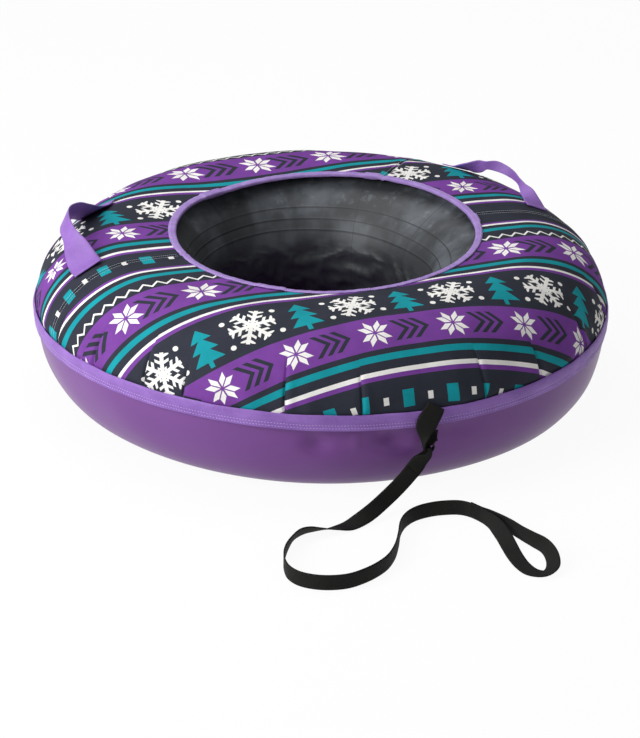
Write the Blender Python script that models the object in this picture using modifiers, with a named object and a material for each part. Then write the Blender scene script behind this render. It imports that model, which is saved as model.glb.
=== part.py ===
"""Snow tube: an inflated butyl tube in a printed fabric cover with a coated bottom pan.

Metres, +Z up. The origin is the centre of the flat underside. The tow leash leaves the
rim at -Y, so -Y is the front, and the two handles stand on the shoulder at the left and right.
"""

import math

import bmesh
import bpy
import numpy as np
from mathutils import Vector

MM = 0.001

# Whole body
RIM_RADIUS = 0.482
RIM_HEIGHT = 0.138
BODY_HEIGHT = 0.266
SHOULDER_REACH = 0.145
PAN_TURN = 0.077
CROWN_RADIUS = RIM_RADIUS - SHOULDER_REACH
FLOOR_RADIUS = RIM_RADIUS - PAN_TURN
UPPER_FULLNESS = 1.9
LOWER_FULLNESS = 1.95
INNER_FULLNESS = 2.0
FABRIC_THICKNESS = 1.5 * MM
GAP = 0.3 * MM
RIM_SEAM_GAP = 0.7 * MM

# Hole in the top cover
COVER_TOP_REACH = 0.085
HOLE_RADIUS = CROWN_RADIUS - COVER_TOP_REACH
HOLE_EDGE_DROP = 0.004
HOLE_BINDING_WIDTH = 0.014
BINDING_THICKNESS = 1.5 * MM
BINDING_NOSE = 1.2 * MM

# Inflated tube
TUBE_INNER_REACH = 0.147
TUBE_FLAT_WIDTH = 0.115
TUBE_INNER_RADIUS = CROWN_RADIUS - TUBE_INNER_REACH
TUBE_FOOT_RADIUS = FLOOR_RADIUS - TUBE_FLAT_WIDTH
INNER_EQUATOR_HEIGHT = 0.135
TUBE_WALL = 2.0 * MM

# Bound rim
RIM_BAND_HEIGHT = 0.025
RIM_BAND_RISE = 0.007
RIM_BAND_THICKNESS = 1.6 * MM
RIM_BAND_CROWN = 1.5 * MM
RIM_BAND_FOOT_INSET = 0.6 * MM

# Cover seams, as azimuths of the three panels' joints
SEAM_RIGHT = math.radians(0)
SEAM_REAR = math.radians(45)
SEAM_LEFT = math.radians(180)

# Valve, along its axis from the rubber towards the middle of the hole
VALVE_FLANGE_RADIUS = 18.0 * MM
VALVE_FLANGE_HEIGHT = 3.0 * MM
VALVE_FLANGE_DEPTH = 4.0 * MM
VALVE_BOSS_FOOT_RADIUS = 9.0 * MM
VALVE_BOSS_RADIUS = 6.5 * MM
VALVE_BOSS_HEIGHT = 10.0 * MM
STEM_RADIUS = 4.1 * MM
STEM_BORE_RADIUS = 2.7 * MM
STEM_LENGTH = 32.0 * MM
STEM_TAIL = 3.5 * MM
CORE_WALL = 1.4 * MM
CORE_LENGTH = 15.0 * MM
CORE_SINK = 1.5 * MM
PIN_TAIL = 2.0 * MM
PIN_RISE = 1.0 * MM
CAP_WALL = 1.4 * MM
CAP_DEPTH = 12.0 * MM
CAP_ROOF = 1.8 * MM
SEAL_THICKNESS = 1.5 * MM

# Handles: broad webbing sewn down at both ends on the shoulder of the cover
HANDLE_LEFT_AZIMUTH = math.radians(161.5)
HANDLE_RIGHT_AZIMUTH = math.radians(18.5)
HANDLE_LEFT_TILT = math.radians(62)
HANDLE_RIGHT_TILT = math.radians(60)
HANDLE_LEFT_LIFT = 0.050
HANDLE_RIGHT_LIFT = 0.032
HANDLE_INSET = 0.082
HANDLE_SEAT_RADIUS = RIM_RADIUS - HANDLE_INSET
HANDLE_WIDTH = 0.050
HANDLE_WAIST_WIDTH = 0.034
HANDLE_LENGTH_ON_ARC = 0.262
HANDLE_SEWN_LENGTH = 0.022
HANDLE_FLEX_LENGTH = 0.053
HANDLE_FLEX_GAP = 0.9 * MM
HANDLE_FLEX_BOW = 0.9 * MM
HANDLE_ACROSS_SHARES = (-1.0, -0.5, 0.0, 0.5, 1.0)
WEBBING_THICKNESS = 1.8 * MM
SEWN_CLEARANCE = 0.5 * MM

# Tow leash: narrow webbing hung from a tab on the rim
LEASH_WIDTH = 0.025
LEASH_WAIST_WIDTH = 0.007
TAB_WAIST_WIDTH = 0.007
HITCH_SIDE = 3.0 * MM
HITCH_REACH = 0.014
HITCH_DROP = 0.0455
HITCH = Vector((-HITCH_SIDE, -RIM_RADIUS - HITCH_REACH, RIM_HEIGHT - HITCH_DROP))
HITCH_RADIUS = 0.0085
EYE_HALF_SPAN = 0.0071
EYE_TOP_DROP = 0.0042
EYE_SINK_SHARE = 0.45

# Mesh fineness
RING_STEPS = 48
SMALL_STEPS = 24
ARC_STEPS = 6
INNER_ARC_STEPS = 4
EYE_STEPS = 4
COLLAR_STEPS = 2
LOFT_STEPS = 2
LINE_SAMPLES = 240
MERGE_DISTANCE = 0.01 * MM

# The free leash on the ground, from below the hitch to the hand loop's joint, chosen by
# hand: x, y, z of the strap's middle and its lean in degrees. Lean 0 stands on edge and 90
# lies flat.
LEASH_ROUTE = [
    (-0.020, -0.495, 0.0660, 140),
    (-0.040, -0.502, 0.0500, 140),
    (-0.061, -0.509, 0.0360, 138),
    (-0.086, -0.520, 0.0245, 136),
    (-0.112, -0.532, 0.0150, 130),
    (-0.137, -0.541, 0.0080, 112),
    (-0.158, -0.544, 0.0030, 92),
    (-0.182, -0.549, 0.0060, 70),
    (-0.203, -0.548, 0.0085, 55),
    (-0.222, -0.548, 0.0105, 42),
    (-0.242, -0.557, 0.0120, 30),
    (-0.260, -0.577, 0.0128, 18),
    (-0.279, -0.605, 0.0130, 5),
    (-0.292, -0.635, 0.0130, 0),
    (-0.297, -0.667, 0.0130, 0),
    (-0.289, -0.693, 0.0130, 0),
    (-0.270, -0.712, 0.0130, 0),
    (-0.246, -0.723, 0.0130, 0),
    (-0.220, -0.726, 0.0130, 0),
    (-0.193, -0.719, 0.0130, 0),
    (-0.168, -0.707, 0.0130, 0),
    (-0.144, -0.689, 0.0130, 0),
    (-0.122, -0.661, 0.0130, 0),
    (-0.104, -0.628, 0.0130, 0),
    (-0.088, -0.595, 0.0130, 0),
    (-0.070, -0.572, 0.0130, 0),
    (-0.048, -0.558, 0.0130, 0),
    (-0.022, -0.553, 0.0130, 0),
    (0.002, -0.555, 0.0130, 0),
    (0.023, -0.562, 0.0130, 0),
    (0.036, -0.575, 0.0130, 0),
    (0.045, -0.595, 0.0130, 0),
]

# The hand loop, from the joint out along its near side and back along its far side.
LOOP_ROUTE = [
    (0.0452, -0.5954, 0.0130, 0),
    (0.0495, -0.6100, 0.0130, 4),
    (0.053, -0.626, 0.0127, 18),
    (0.055, -0.646, 0.0108, 42),
    (0.055, -0.668, 0.0078, 62),
    (0.053, -0.692, 0.0048, 78),
    (0.050, -0.722, 0.0030, 86),
    (0.0495, -0.751, 0.0022, 90),
    (0.0545, -0.777, 0.0026, 92),
    (0.0690, -0.7905, 0.0042, 100),
    (0.0850, -0.783, 0.0068, 114),
    (0.0950, -0.762, 0.0095, 132),
    (0.0985, -0.740, 0.0119, 150),
    (0.097, -0.720, 0.0130, 165),
    (0.090, -0.700, 0.0130, 174),
    (0.082, -0.676, 0.0130, 180),
    (0.075, -0.651, 0.0130, 180),
    (0.0665, -0.629, 0.0130, 180),
    (0.0565, -0.6085, 0.0130, 180),
    (0.0475, -0.5940, 0.0130, 180),
    (0.0383, -0.5737, 0.0130, 180),
]

# The sewn-back end of the leash's eye, chosen by hand like the routes: the strap's middle
# measured from the hitch, the direction across it, and its share of the full width.
EYE_FRONT_SHARES = [
    (-0.0276, -0.0052, -0.0327, (0.63, -0.44, -0.64), 1.00),
    (-0.0168, -0.0023, -0.0240, (0.65, -0.42, -0.63), 0.92),
    (-0.0080, -0.0050, -0.0173, (0.82, -0.22, -0.52), 0.64),
    (-0.0030, -0.0070, -0.0125, (0.95, -0.08, -0.30), 0.44),
]
EYE_REAR_SHARES = [
    (-0.0025, 0.0070, -0.0130, (0.95, -0.08, -0.30), 0.44),
    (-0.0075, 0.0052, -0.0190, (0.82, -0.26, -0.50), 0.68),
]

# The tab over the rim in the same way, with its middle measured sideways, outward from the
# rim and up from the rim's seam.
TAB_OUTER_SHARES = [
    (0.0125, -0.0008, 0.0195, (0.88, 0.03, -0.48), 1.00),
    (0.0104, 0.0026, 0.0128, (0.88, 0.02, -0.48), 1.00),
    (0.0080, 0.0046, 0.0060, (0.90, 0.00, -0.43), 1.00),
    (0.0030, 0.0051, -0.0050, (0.94, 0.00, -0.34), 1.00),
    (-0.0020, 0.0066, -0.0160, (0.95, -0.16, -0.28), 0.88),
    (-0.0060, 0.0098, -0.0260, (0.80, -0.52, -0.16), 0.64),
    (-0.0096, 0.0128, -0.0360, (0.36, -0.92, -0.05), 0.42),
]
TAB_REAR_SHARES = [
    (0.0048, 0.0126, -0.0360, (0.36, -0.92, 0.00), 0.42),
    (0.0056, 0.0078, -0.0300, (0.86, -0.50, 0.00), 0.60),
    (0.0060, 0.0038, -0.0250, (1.00, 0.00, 0.00), 0.80),
    (0.0062, 0.0016, -0.0195, (1.00, 0.00, 0.00), 0.80),
]


def fresh_scene():
    for thing in list(bpy.data.objects):
        bpy.data.objects.remove(thing, do_unlink=True)


def new_collection(name):
    collection = bpy.data.collections.new(name)
    bpy.context.scene.collection.children.link(collection)
    return collection


def make_material(name, colour, roughness, metallic=0.0):
    material = bpy.data.materials.new(name)
    material.use_nodes = True
    shader = material.node_tree.nodes["Principled BSDF"]
    shader.inputs["Base Color"].default_value = (*colour, 1.0)
    shader.inputs["Roughness"].default_value = roughness
    shader.inputs["Metallic"].default_value = metallic
    material.diffuse_color = (*colour, 1.0)
    return material


def add_object(name, mesh, collection, material=None):
    thing = bpy.data.objects.new(name, mesh)
    collection.objects.link(thing)
    if material:
        mesh.materials.append(material)
    mesh.shade_smooth()
    mesh.set_sharp_from_angle(angle=math.radians(35))
    return thing


def as_cutter(thing):
    thing.hide_render = True
    thing.display_type = "WIRE"
    return thing


# Profiles, as lists of (radius, height)


def arc(centre_r, centre_z, half_r, half_z, fullness, start, end, steps):
    """A quarter of a superellipse. Angle 0 points outward and 90 degrees points up."""
    points = []
    for angle in np.linspace(math.radians(start), math.radians(end), steps + 1):
        across = math.copysign(abs(math.cos(angle)) ** (2 / fullness), math.cos(angle))
        up = math.copysign(abs(math.sin(angle)) ** (2 / fullness), math.sin(angle))
        points.append((centre_r + half_r * across, centre_z + half_z * up))
    return points


def upper_arc(inset=0.0, steps=ARC_STEPS):
    """The shoulder from the crown down to the rim, that much inside the cover's face."""
    half_r = RIM_RADIUS - CROWN_RADIUS - inset
    half_z = BODY_HEIGHT - RIM_HEIGHT - RIM_SEAM_GAP - inset
    return arc(CROWN_RADIUS, RIM_HEIGHT + RIM_SEAM_GAP, half_r, half_z, UPPER_FULLNESS, 90, 0, steps)


def lower_arc(inset=0.0, steps=ARC_STEPS):
    """The pan's wall from the rim down to the ground, that much inside the pan's face."""
    half_r = RIM_RADIUS - FLOOR_RADIUS - inset
    half_z = RIM_HEIGHT - inset
    return arc(FLOOR_RADIUS, RIM_HEIGHT, half_r, half_z, LOWER_FULLNESS, 0, -90, steps)


def cover_line():
    """The cover's outer face from the edge of the hole over the crown to the rim."""
    edge_r = HOLE_RADIUS + BINDING_THICKNESS + BINDING_NOSE + GAP
    run = CROWN_RADIUS - edge_r
    collar = []
    for share in np.linspace(0, 1, COLLAR_STEPS + 1)[:-1]:
        drop = HOLE_EDGE_DROP * (1 - share) ** 2
        collar.append((edge_r + run * share, BODY_HEIGHT - drop))
    return collar + upper_arc()


def pan_line():
    """The pan's outer face from the rim down its wall and in along the ground."""
    return lower_arc() + [(TUBE_FOOT_RADIUS, 0.0), (0.0, 0.0)]


def tube_loop(inset):
    """The tube's closed section, that much inside the faces of the cover and the pan."""
    top = BODY_HEIGHT - inset
    waist = INNER_EQUATOR_HEIGHT
    rise = top - waist
    inner_up = arc(CROWN_RADIUS, waist, TUBE_INNER_REACH, rise, INNER_FULLNESS, 180, 90, ARC_STEPS)
    half_foot = TUBE_FOOT_RADIUS - TUBE_INNER_RADIUS
    inner_down = arc(
        TUBE_FOOT_RADIUS, waist, half_foot, waist - inset, INNER_FULLNESS, 270, 180, INNER_ARC_STEPS
    )
    outer = upper_arc(inset) + lower_arc(inset)[1:]
    return outer + inner_down + inner_up[1:-1]


def profile_mesh(name, points, closed):
    mesh = bpy.data.meshes.new(name)
    build = bmesh.new()
    corners = [build.verts.new((radius, 0.0, height)) for radius, height in points]
    for first, second in zip(corners, corners[1:]):
        build.edges.new((first, second))
    if closed:
        build.edges.new((corners[-1], corners[0]))
    build.to_mesh(mesh)
    build.free()
    return mesh


def turned(name, points, collection, material=None, closed=True, start=0.0, end=math.tau, steps=RING_STEPS):
    """A profile swept about Z from one azimuth to another."""
    thing = add_object(name, profile_mesh(name, points, closed), collection, material)
    thing.rotation_euler.z = start
    screw = thing.modifiers.new("Turn", "SCREW")
    screw.angle = end - start
    screw.steps = steps
    screw.render_steps = steps
    screw.use_merge_vertices = True
    screw.merge_threshold = MERGE_DISTANCE
    screw.use_smooth_shade = True
    return thing


def thicken(thing, thickness, side=-1.0):
    solid = thing.modifiers.new("Thickness", "SOLIDIFY")
    solid.thickness = thickness
    solid.offset = side
    solid.use_even_offset = True
    return thing


def cut(thing, cutter):
    boolean = thing.modifiers.new("Cut", "BOOLEAN")
    boolean.operation = "DIFFERENCE"
    boolean.object = cutter
    boolean.solver = "EXACT"
    return thing


def cylinder(name, radius, start, end, collection, steps=SMALL_STEPS):
    """A plain cylinder along Z from one height to another."""
    mesh = bpy.data.meshes.new(name)
    build = bmesh.new()
    bmesh.ops.create_cone(
        build, cap_ends=True, segments=steps, radius1=radius, radius2=radius, depth=end - start
    )
    bmesh.ops.translate(build, verts=build.verts, vec=(0, 0, (start + end) / 2))
    build.to_mesh(mesh)
    build.free()
    return add_object(name, mesh, collection)


# The cover's face as a smooth line, for what is sewn onto it


def shoulder_samples():
    """Arc length, radius, height and outward normal along the shoulder."""
    line = np.array(upper_arc(steps=LINE_SAMPLES))
    steps = np.diff(line, axis=0)
    lengths = np.concatenate([[0.0], np.cumsum(np.linalg.norm(steps, axis=1))])
    slopes = np.gradient(line, axis=0)
    slopes /= np.linalg.norm(slopes, axis=1)[:, None]
    normals = np.stack([-slopes[:, 1], slopes[:, 0]], axis=1)
    return lengths, line, normals


SHOULDER = shoulder_samples()


def on_cover(along, azimuth, height):
    """A point that high over the cover, at an arc length from the crown and an azimuth."""
    lengths, line, normals = SHOULDER
    radius = np.interp(along, lengths, line[:, 0] + height * normals[:, 0])
    level = np.interp(along, lengths, line[:, 1] + height * normals[:, 1])
    return Vector((radius * math.cos(azimuth), radius * math.sin(azimuth), level))


def along_at_radius(radius):
    lengths, line, _ = SHOULDER
    return float(np.interp(radius, line[:, 0], lengths))


def tilt_at_radius(radius):
    """The angle of the cover's outward normal over the horizontal."""
    _, line, normals = SHOULDER
    outward = np.interp(radius, line[:, 0], normals[:, 0])
    upward = np.interp(radius, line[:, 0], normals[:, 1])
    return math.atan2(upward, outward)


# Webbing, lofted from rows of points across the strap


def strap(name, rows, collection, material):
    """A strap whose rows of points run across it, given its thickness on both sides."""
    mesh = bpy.data.meshes.new(name)
    build = bmesh.new()
    grid = [[build.verts.new(point) for point in row] for row in rows]
    for row, following in zip(grid, grid[1:]):
        for near, far, far_next, near_next in zip(row, row[1:], following[1:], following):
            build.faces.new((near, near_next, far_next, far))
    build.to_mesh(mesh)
    build.free()
    thing = add_object(name, mesh, collection, material)
    return thicken(thing, WEBBING_THICKNESS, side=0.0)


def smooth_rows(rows, steps=LOFT_STEPS):
    """Catmull-Rom rows of (middle, across, width) through the given ones."""
    table = np.array([(*middle, *across, width) for middle, across, width in rows])
    padded = np.vstack([2 * table[0] - table[1], table, 2 * table[-1] - table[-2]])
    result = []
    for i in range(1, len(padded) - 2):
        before, here, after, later = padded[i - 1 : i + 3]
        for share in np.arange(steps) / steps:
            linear = after - before
            square = 2 * before - 5 * here + 4 * after - later
            cube = 3 * here - before - 3 * after + later
            result.append((2 * here + share * (linear + share * (square + share * cube))) / 2)
    result.append(padded[-2])
    return [(Vector(row[:3]), Vector(row[3:6]), float(row[6])) for row in result]


def across_rows(rows):
    """Three points across the strap at each row, square to its run."""
    middles = [row[0] for row in rows]
    points = []
    for index, (middle, across, width) in enumerate(rows):
        run = middles[min(index + 1, len(rows) - 1)] - middles[max(index - 1, 0)]
        run.normalize()
        square = across - run * across.dot(run)
        square.normalize()
        half = square * width / 2
        points.append([middle - half, middle, middle + half])
    return points


def leaning_rows(route, width):
    """Rows of a strap that follows a route at its leans."""
    middles = [Vector(point[:3]) for point in route]
    rows = []
    for index, point in enumerate(route):
        run = middles[min(index + 1, len(route) - 1)] - middles[max(index - 1, 0)]
        run.normalize()
        upright = Vector((0, 0, 1)) - run * run.z
        upright.normalize()
        sideways = Vector((0, 0, 1)).cross(run).normalized()
        lean = math.radians(point[3])
        across = upright * math.cos(lean) + sideways * math.sin(lean)
        rows.append((middles[index], across, width))
    return rows


def eye_rows(table):
    """Rows of the leash's eye, placed from the hitch."""
    return [(HITCH + Vector(row[:3]), Vector(row[3]), row[4] * LEASH_WIDTH) for row in table]


def tab_rows(table):
    """Rows of the tab, placed from the rim."""
    rows = []
    for side, beyond, above, across, share in table:
        middle = Vector((side, -RIM_RADIUS - beyond, RIM_HEIGHT + above))
        rows.append((middle, Vector(across), share * LEASH_WIDTH))
    return rows


def build_tube(parts, cutters, rubber):
    inset = FABRIC_THICKNESS + GAP
    tube = turned("inner_tube", tube_loop(inset), parts, rubber)
    thicken(tube, TUBE_WALL)
    bore = cylinder("valve_bore", STEM_RADIUS + GAP, -2 * TUBE_WALL - GAP, TUBE_WALL, cutters)
    on_valve_axis(as_cutter(bore))
    cut(tube, bore)
    return tube


def on_valve_axis(thing):
    """Turns a piece made along Z so that it points from the tube's front wall to the middle."""
    thing.location = (0.0, -TUBE_INNER_RADIUS, INNER_EQUATOR_HEIGHT)
    thing.rotation_euler.x = -math.pi / 2
    return thing


def build_valve(parts, cutters, rubber, brass, plastic):
    hole = STEM_RADIUS + GAP
    flange = [
        (hole, VALVE_BOSS_HEIGHT),
        (VALVE_BOSS_RADIUS, VALVE_BOSS_HEIGHT),
        (VALVE_BOSS_FOOT_RADIUS, VALVE_FLANGE_HEIGHT),
        (VALVE_FLANGE_RADIUS, VALVE_FLANGE_HEIGHT / 2),
        (VALVE_FLANGE_RADIUS, -VALVE_FLANGE_DEPTH),
        (hole, -VALVE_FLANGE_DEPTH),
    ]
    base = on_valve_axis(turned("valve_base", flange, parts, rubber, steps=SMALL_STEPS))
    seat = turned("tube_seat", tube_loop(FABRIC_THICKNESS + GAP), cutters)
    swell = seat.modifiers.new("Clearance", "DISPLACE")
    swell.strength = GAP
    swell.mid_level = 0.0
    cut(base, as_cutter(seat))

    stem = [
        (STEM_BORE_RADIUS, STEM_LENGTH),
        (STEM_RADIUS, STEM_LENGTH),
        (STEM_RADIUS, -STEM_TAIL),
        (STEM_BORE_RADIUS, -STEM_TAIL),
    ]
    on_valve_axis(turned("valve_stem", stem, parts, brass, steps=SMALL_STEPS))

    core_radius = STEM_BORE_RADIUS - GAP
    core_bore = core_radius - CORE_WALL
    core_top = STEM_LENGTH - CORE_SINK
    core = [
        (core_bore, core_top),
        (core_radius, core_top),
        (core_radius, core_top - CORE_LENGTH),
        (core_bore, core_top - CORE_LENGTH),
    ]
    on_valve_axis(turned("valve_core", core, parts, brass, steps=SMALL_STEPS))

    pin_start = core_top - CORE_LENGTH - PIN_TAIL
    pin = cylinder("valve_core_pin", core_bore - GAP, pin_start, core_top + PIN_RISE, parts)
    pin.data.materials.append(brass)
    on_valve_axis(pin)

    seal_start = STEM_LENGTH + GAP
    seal = cylinder("valve_cap_seal", STEM_RADIUS, seal_start, seal_start + SEAL_THICKNESS, parts)
    seal.data.materials.append(rubber)
    on_valve_axis(seal)

    roof = seal_start + SEAL_THICKNESS + GAP
    inside = STEM_RADIUS + GAP
    outside = inside + CAP_WALL
    cap = [
        (0.0, roof + CAP_ROOF),
        (outside - CAP_WALL / 2, roof + CAP_ROOF),
        (outside, roof + CAP_ROOF - CAP_WALL / 2),
        (outside, STEM_LENGTH - CAP_DEPTH),
        (inside, STEM_LENGTH - CAP_DEPTH),
        (inside, roof),
        (0.0, roof),
    ]
    on_valve_axis(turned("valve_cap", cap, parts, plastic, closed=False, steps=SMALL_STEPS))


def build_cover(parts, fabric, binding):
    half_seam = GAP / 2 / HOLE_RADIUS
    panels = [
        ("top_panel_rear_right", SEAM_RIGHT, SEAM_REAR),
        ("top_panel_rear_left", SEAM_REAR, SEAM_LEFT),
        ("top_panel_front", SEAM_LEFT, SEAM_RIGHT + math.tau),
    ]
    for name, start, end in panels:
        steps = round((end - start) / math.tau * RING_STEPS)
        panel = turned(
            name, cover_line(), parts, fabric, closed=False, start=start + half_seam, end=end - half_seam,
            steps=steps,
        )
        thicken(panel, FABRIC_THICKNESS)

    edge, inward = (Vector(point) for point in cover_line()[:2])
    outward = (inward - edge).normalized()
    above = Vector((-outward.y, outward.x))
    below = -above * FABRIC_THICKNESS
    lip = GAP + BINDING_THICKNESS
    leg = outward * (HOLE_BINDING_WIDTH - lip)
    fold = [
        edge + leg + above * GAP,
        edge + leg + above * lip,
        edge - outward * GAP + above * lip,
        edge - outward * (lip + BINDING_NOSE) + below / 2,
        edge - outward * GAP + below - above * lip,
        edge + leg + below - above * lip,
        edge + leg + below - above * GAP,
        edge - outward * GAP + below - above * GAP,
        edge - outward * GAP + above * GAP,
    ]
    turned("hole_binding", list(reversed(fold)), parts, binding)


def build_pan(parts, coated, binding):
    pan = turned("bottom_pan", pan_line(), parts, coated, closed=False)
    thicken(pan, FABRIC_THICKNESS)
    inner = RIM_RADIUS + GAP
    outer = inner + RIM_BAND_THICKNESS
    top = RIM_HEIGHT + RIM_BAND_RISE
    foot = top - RIM_BAND_HEIGHT
    band = [
        (inner, top),
        (outer, top),
        (outer + RIM_BAND_CROWN, RIM_HEIGHT),
        (outer + RIM_BAND_CROWN / 2, (RIM_HEIGHT + foot) / 2),
        (outer - RIM_BAND_FOOT_INSET, foot),
        (inner - RIM_BAND_FOOT_INSET, foot),
        (inner, RIM_HEIGHT),
    ]
    turned("rim_binding", band, parts, binding)


def handle_row(centre_azimuth, offset, tilt, height, bow=0.0):
    """Five points across a handle at an azimuth offset from its middle, its edges bowed along it."""
    azimuth = centre_azimuth + offset
    half_length = HANDLE_LENGTH_ON_ARC / 2 / HANDLE_SEAT_RADIUS
    free = half_length - HANDLE_SEWN_LENGTH / HANDLE_SEAT_RADIUS
    share = min(abs(offset) / free, 1.0)
    rise = math.cos(share * math.pi / 2) ** 2
    width = HANDLE_WIDTH + (HANDLE_WAIST_WIDTH - HANDLE_WIDTH) * math.sqrt(rise)
    seat = along_at_radius(HANDLE_SEAT_RADIUS)
    clear = SEWN_CLEARANCE + WEBBING_THICKNESS / 2
    outward = Vector((math.cos(azimuth), math.sin(azimuth), 0.0))
    up = Vector((0, 0, 1))
    seat_tilt = tilt_at_radius(HANDLE_SEAT_RADIUS)
    lean = seat_tilt + (tilt - seat_tilt) * rise
    lift = (outward * math.cos(lean) + up * math.sin(lean)) * height * rise
    flat_across = outward * math.sin(lean) - up * math.cos(lean)
    middle = on_cover(seat, azimuth, clear) + lift
    points = []
    for place in HANDLE_ACROSS_SHARES:
        reach = place * width / 2
        lying = on_cover(seat + reach, azimuth, clear) + lift
        standing = middle + flat_across * reach
        forward = Vector((-outward.y, outward.x, 0.0)) * bow * place**2
        points.append(lying.lerp(standing, math.sqrt(rise)) + forward)
    return points


def build_handle(side, azimuth, tilt, height, parts, webbing):
    half_length = HANDLE_LENGTH_ON_ARC / 2 / HANDLE_SEAT_RADIUS
    flex = half_length - HANDLE_FLEX_LENGTH / HANDLE_SEAT_RADIUS
    joint = HANDLE_FLEX_GAP / 2 / HANDLE_SEAT_RADIUS
    bow = HANDLE_FLEX_BOW
    spans = [
        (f"handle_{side}_first_end", -half_length, -flex - joint, ARC_STEPS, 0.0, -bow),
        (f"handle_{side}", -flex + joint, flex - joint, 2 * ARC_STEPS, bow, -bow),
        (f"handle_{side}_second_end", flex + joint, half_length, ARC_STEPS, bow, 0.0),
    ]
    for name, start, end, steps, start_bow, end_bow in spans:
        bows = [start_bow] + [0.0] * (steps - 1) + [end_bow]
        offsets = np.linspace(start, end, steps + 1)
        rows = [handle_row(azimuth, offset, tilt, height, edge) for offset, edge in zip(offsets, bows)]
        piece = strap(name, rows, parts, webbing)
        if name == f"handle_{side}":
            hinge = (rows[0][2] + rows[-1][2]) / 2
            hang_on(piece, hinge, f"{side}_hinge", parts)


def hang_on(thing, point, name, collection):
    """Parents a piece to an empty at a point of its joint's axis, with the piece left in place."""
    pivot = bpy.data.objects.get(name)
    if pivot is None:
        pivot = bpy.data.objects.new(name, None)
        pivot.location = point
        collection.objects.link(pivot)
    thing.parent = pivot
    thing.location = -pivot.location


def hitch_arc(start, end, steps):
    """The tab's turn below the hitch, where the strap runs narrow with its width along Y."""
    rows = []
    for angle in np.linspace(math.radians(start), math.radians(end), steps + 1):
        offset = Vector((math.cos(angle), 0, math.sin(angle))) * HITCH_RADIUS
        rows.append((HITCH + offset, Vector((0, -1, 0)), TAB_WAIST_WIDTH))
    return rows


def eye_arc():
    """The leash's turn over the tab, narrow and with its width along X, front to rear."""
    top = HITCH - Vector((0, 0, EYE_TOP_DROP))
    rows = []
    for angle in np.linspace(math.radians(180), 0.0, EYE_STEPS + 1):
        offset = Vector((0, math.cos(angle), 0)) * EYE_HALF_SPAN
        sink = Vector((0, 0, 1)) * (EYE_HALF_SPAN * (1 - math.sin(angle)) * EYE_SINK_SHARE)
        rows.append((top + offset - sink, Vector((1, 0, 0)), LEASH_WAIST_WIDTH))
    return rows


def build_leash(parts, webbing):
    tab = tab_rows(TAB_OUTER_SHARES) + hitch_arc(180, 360, ARC_STEPS) + tab_rows(TAB_REAR_SHARES)
    strap("leash_tab", across_rows(smooth_rows(tab)), parts, webbing)

    free_run = leaning_rows(LEASH_ROUTE, LEASH_WIDTH)
    leash_rows = eye_rows(EYE_FRONT_SHARES) + eye_arc() + eye_rows(EYE_REAR_SHARES) + free_run
    leash = strap("tow_leash", across_rows(smooth_rows(leash_rows)), parts, webbing)
    hang_on(leash, HITCH, "leash_pivot", parts)

    loop_rows = leaning_rows(LOOP_ROUTE, LEASH_WIDTH)
    loop = strap("hand_loop", across_rows(smooth_rows(loop_rows)), parts, webbing)
    hang_on(loop, HITCH, "leash_pivot", parts)


def build():
    fresh_scene()
    parts = new_collection("snow_tube")
    cutters = new_collection("cutters")
    rubber = make_material("butyl rubber", (0.035, 0.037, 0.040), 0.55)
    brass = make_material("brass", (0.60, 0.42, 0.16), 0.30, 1.0)
    plastic = make_material("black nylon", (0.012, 0.012, 0.012), 0.40)
    fabric = make_material("printed polyester", (0.10, 0.04, 0.20), 0.75)
    coated = make_material("coated fabric", (0.17, 0.05, 0.28), 0.35)
    binding = make_material("purple binding", (0.24, 0.09, 0.45), 0.55)
    purple_webbing = make_material("purple webbing", (0.30, 0.13, 0.55), 0.60)
    black_webbing = make_material("black webbing", (0.012, 0.012, 0.011), 0.80)

    build_tube(parts, cutters, rubber)
    build_valve(parts, cutters, rubber, brass, plastic)
    build_cover(parts, fabric, binding)
    build_pan(parts, coated, binding)
    left = (HANDLE_LEFT_AZIMUTH, HANDLE_LEFT_TILT, HANDLE_LEFT_LIFT)
    right = (HANDLE_RIGHT_AZIMUTH, HANDLE_RIGHT_TILT, HANDLE_RIGHT_LIFT)
    build_handle("left", *left, parts, purple_webbing)
    build_handle("right", *right, parts, purple_webbing)
    build_leash(parts, black_webbing)


build()
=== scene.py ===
# %% [markdown]
# # Snow tube
# A snow tube is a ring-shaped rubber inner tube inside a sewn cover: a printed cloth top with a
# hole for the rider, a coated bottom that slides, two webbing handles and a tow leash.
# The solids come in as a fixed frame. Everything soft gets a fuller piece of its own here, laid
# over its solid, because cloth shows its seams, puckers and folds.

# %% The frame
import math
from functools import partial

import bmesh
import bpy
import numpy as np
from mathutils import Matrix, Vector, noise
from mathutils.bvhtree import BVHTree


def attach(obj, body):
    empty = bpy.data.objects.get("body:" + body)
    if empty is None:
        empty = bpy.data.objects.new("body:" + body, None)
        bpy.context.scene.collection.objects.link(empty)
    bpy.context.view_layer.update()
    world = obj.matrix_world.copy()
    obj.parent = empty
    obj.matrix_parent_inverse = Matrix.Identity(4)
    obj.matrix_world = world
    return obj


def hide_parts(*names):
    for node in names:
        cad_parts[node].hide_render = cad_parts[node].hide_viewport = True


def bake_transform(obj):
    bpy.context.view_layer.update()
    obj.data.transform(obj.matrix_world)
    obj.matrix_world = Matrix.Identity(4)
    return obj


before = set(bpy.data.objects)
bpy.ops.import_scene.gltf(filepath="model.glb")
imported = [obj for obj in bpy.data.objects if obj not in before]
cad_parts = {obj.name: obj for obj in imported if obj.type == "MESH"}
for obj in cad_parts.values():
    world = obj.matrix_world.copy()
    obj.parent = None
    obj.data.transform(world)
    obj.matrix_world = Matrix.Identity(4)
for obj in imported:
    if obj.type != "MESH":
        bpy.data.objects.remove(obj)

scene = bpy.context.scene
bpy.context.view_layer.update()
MM = 0.001

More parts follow.
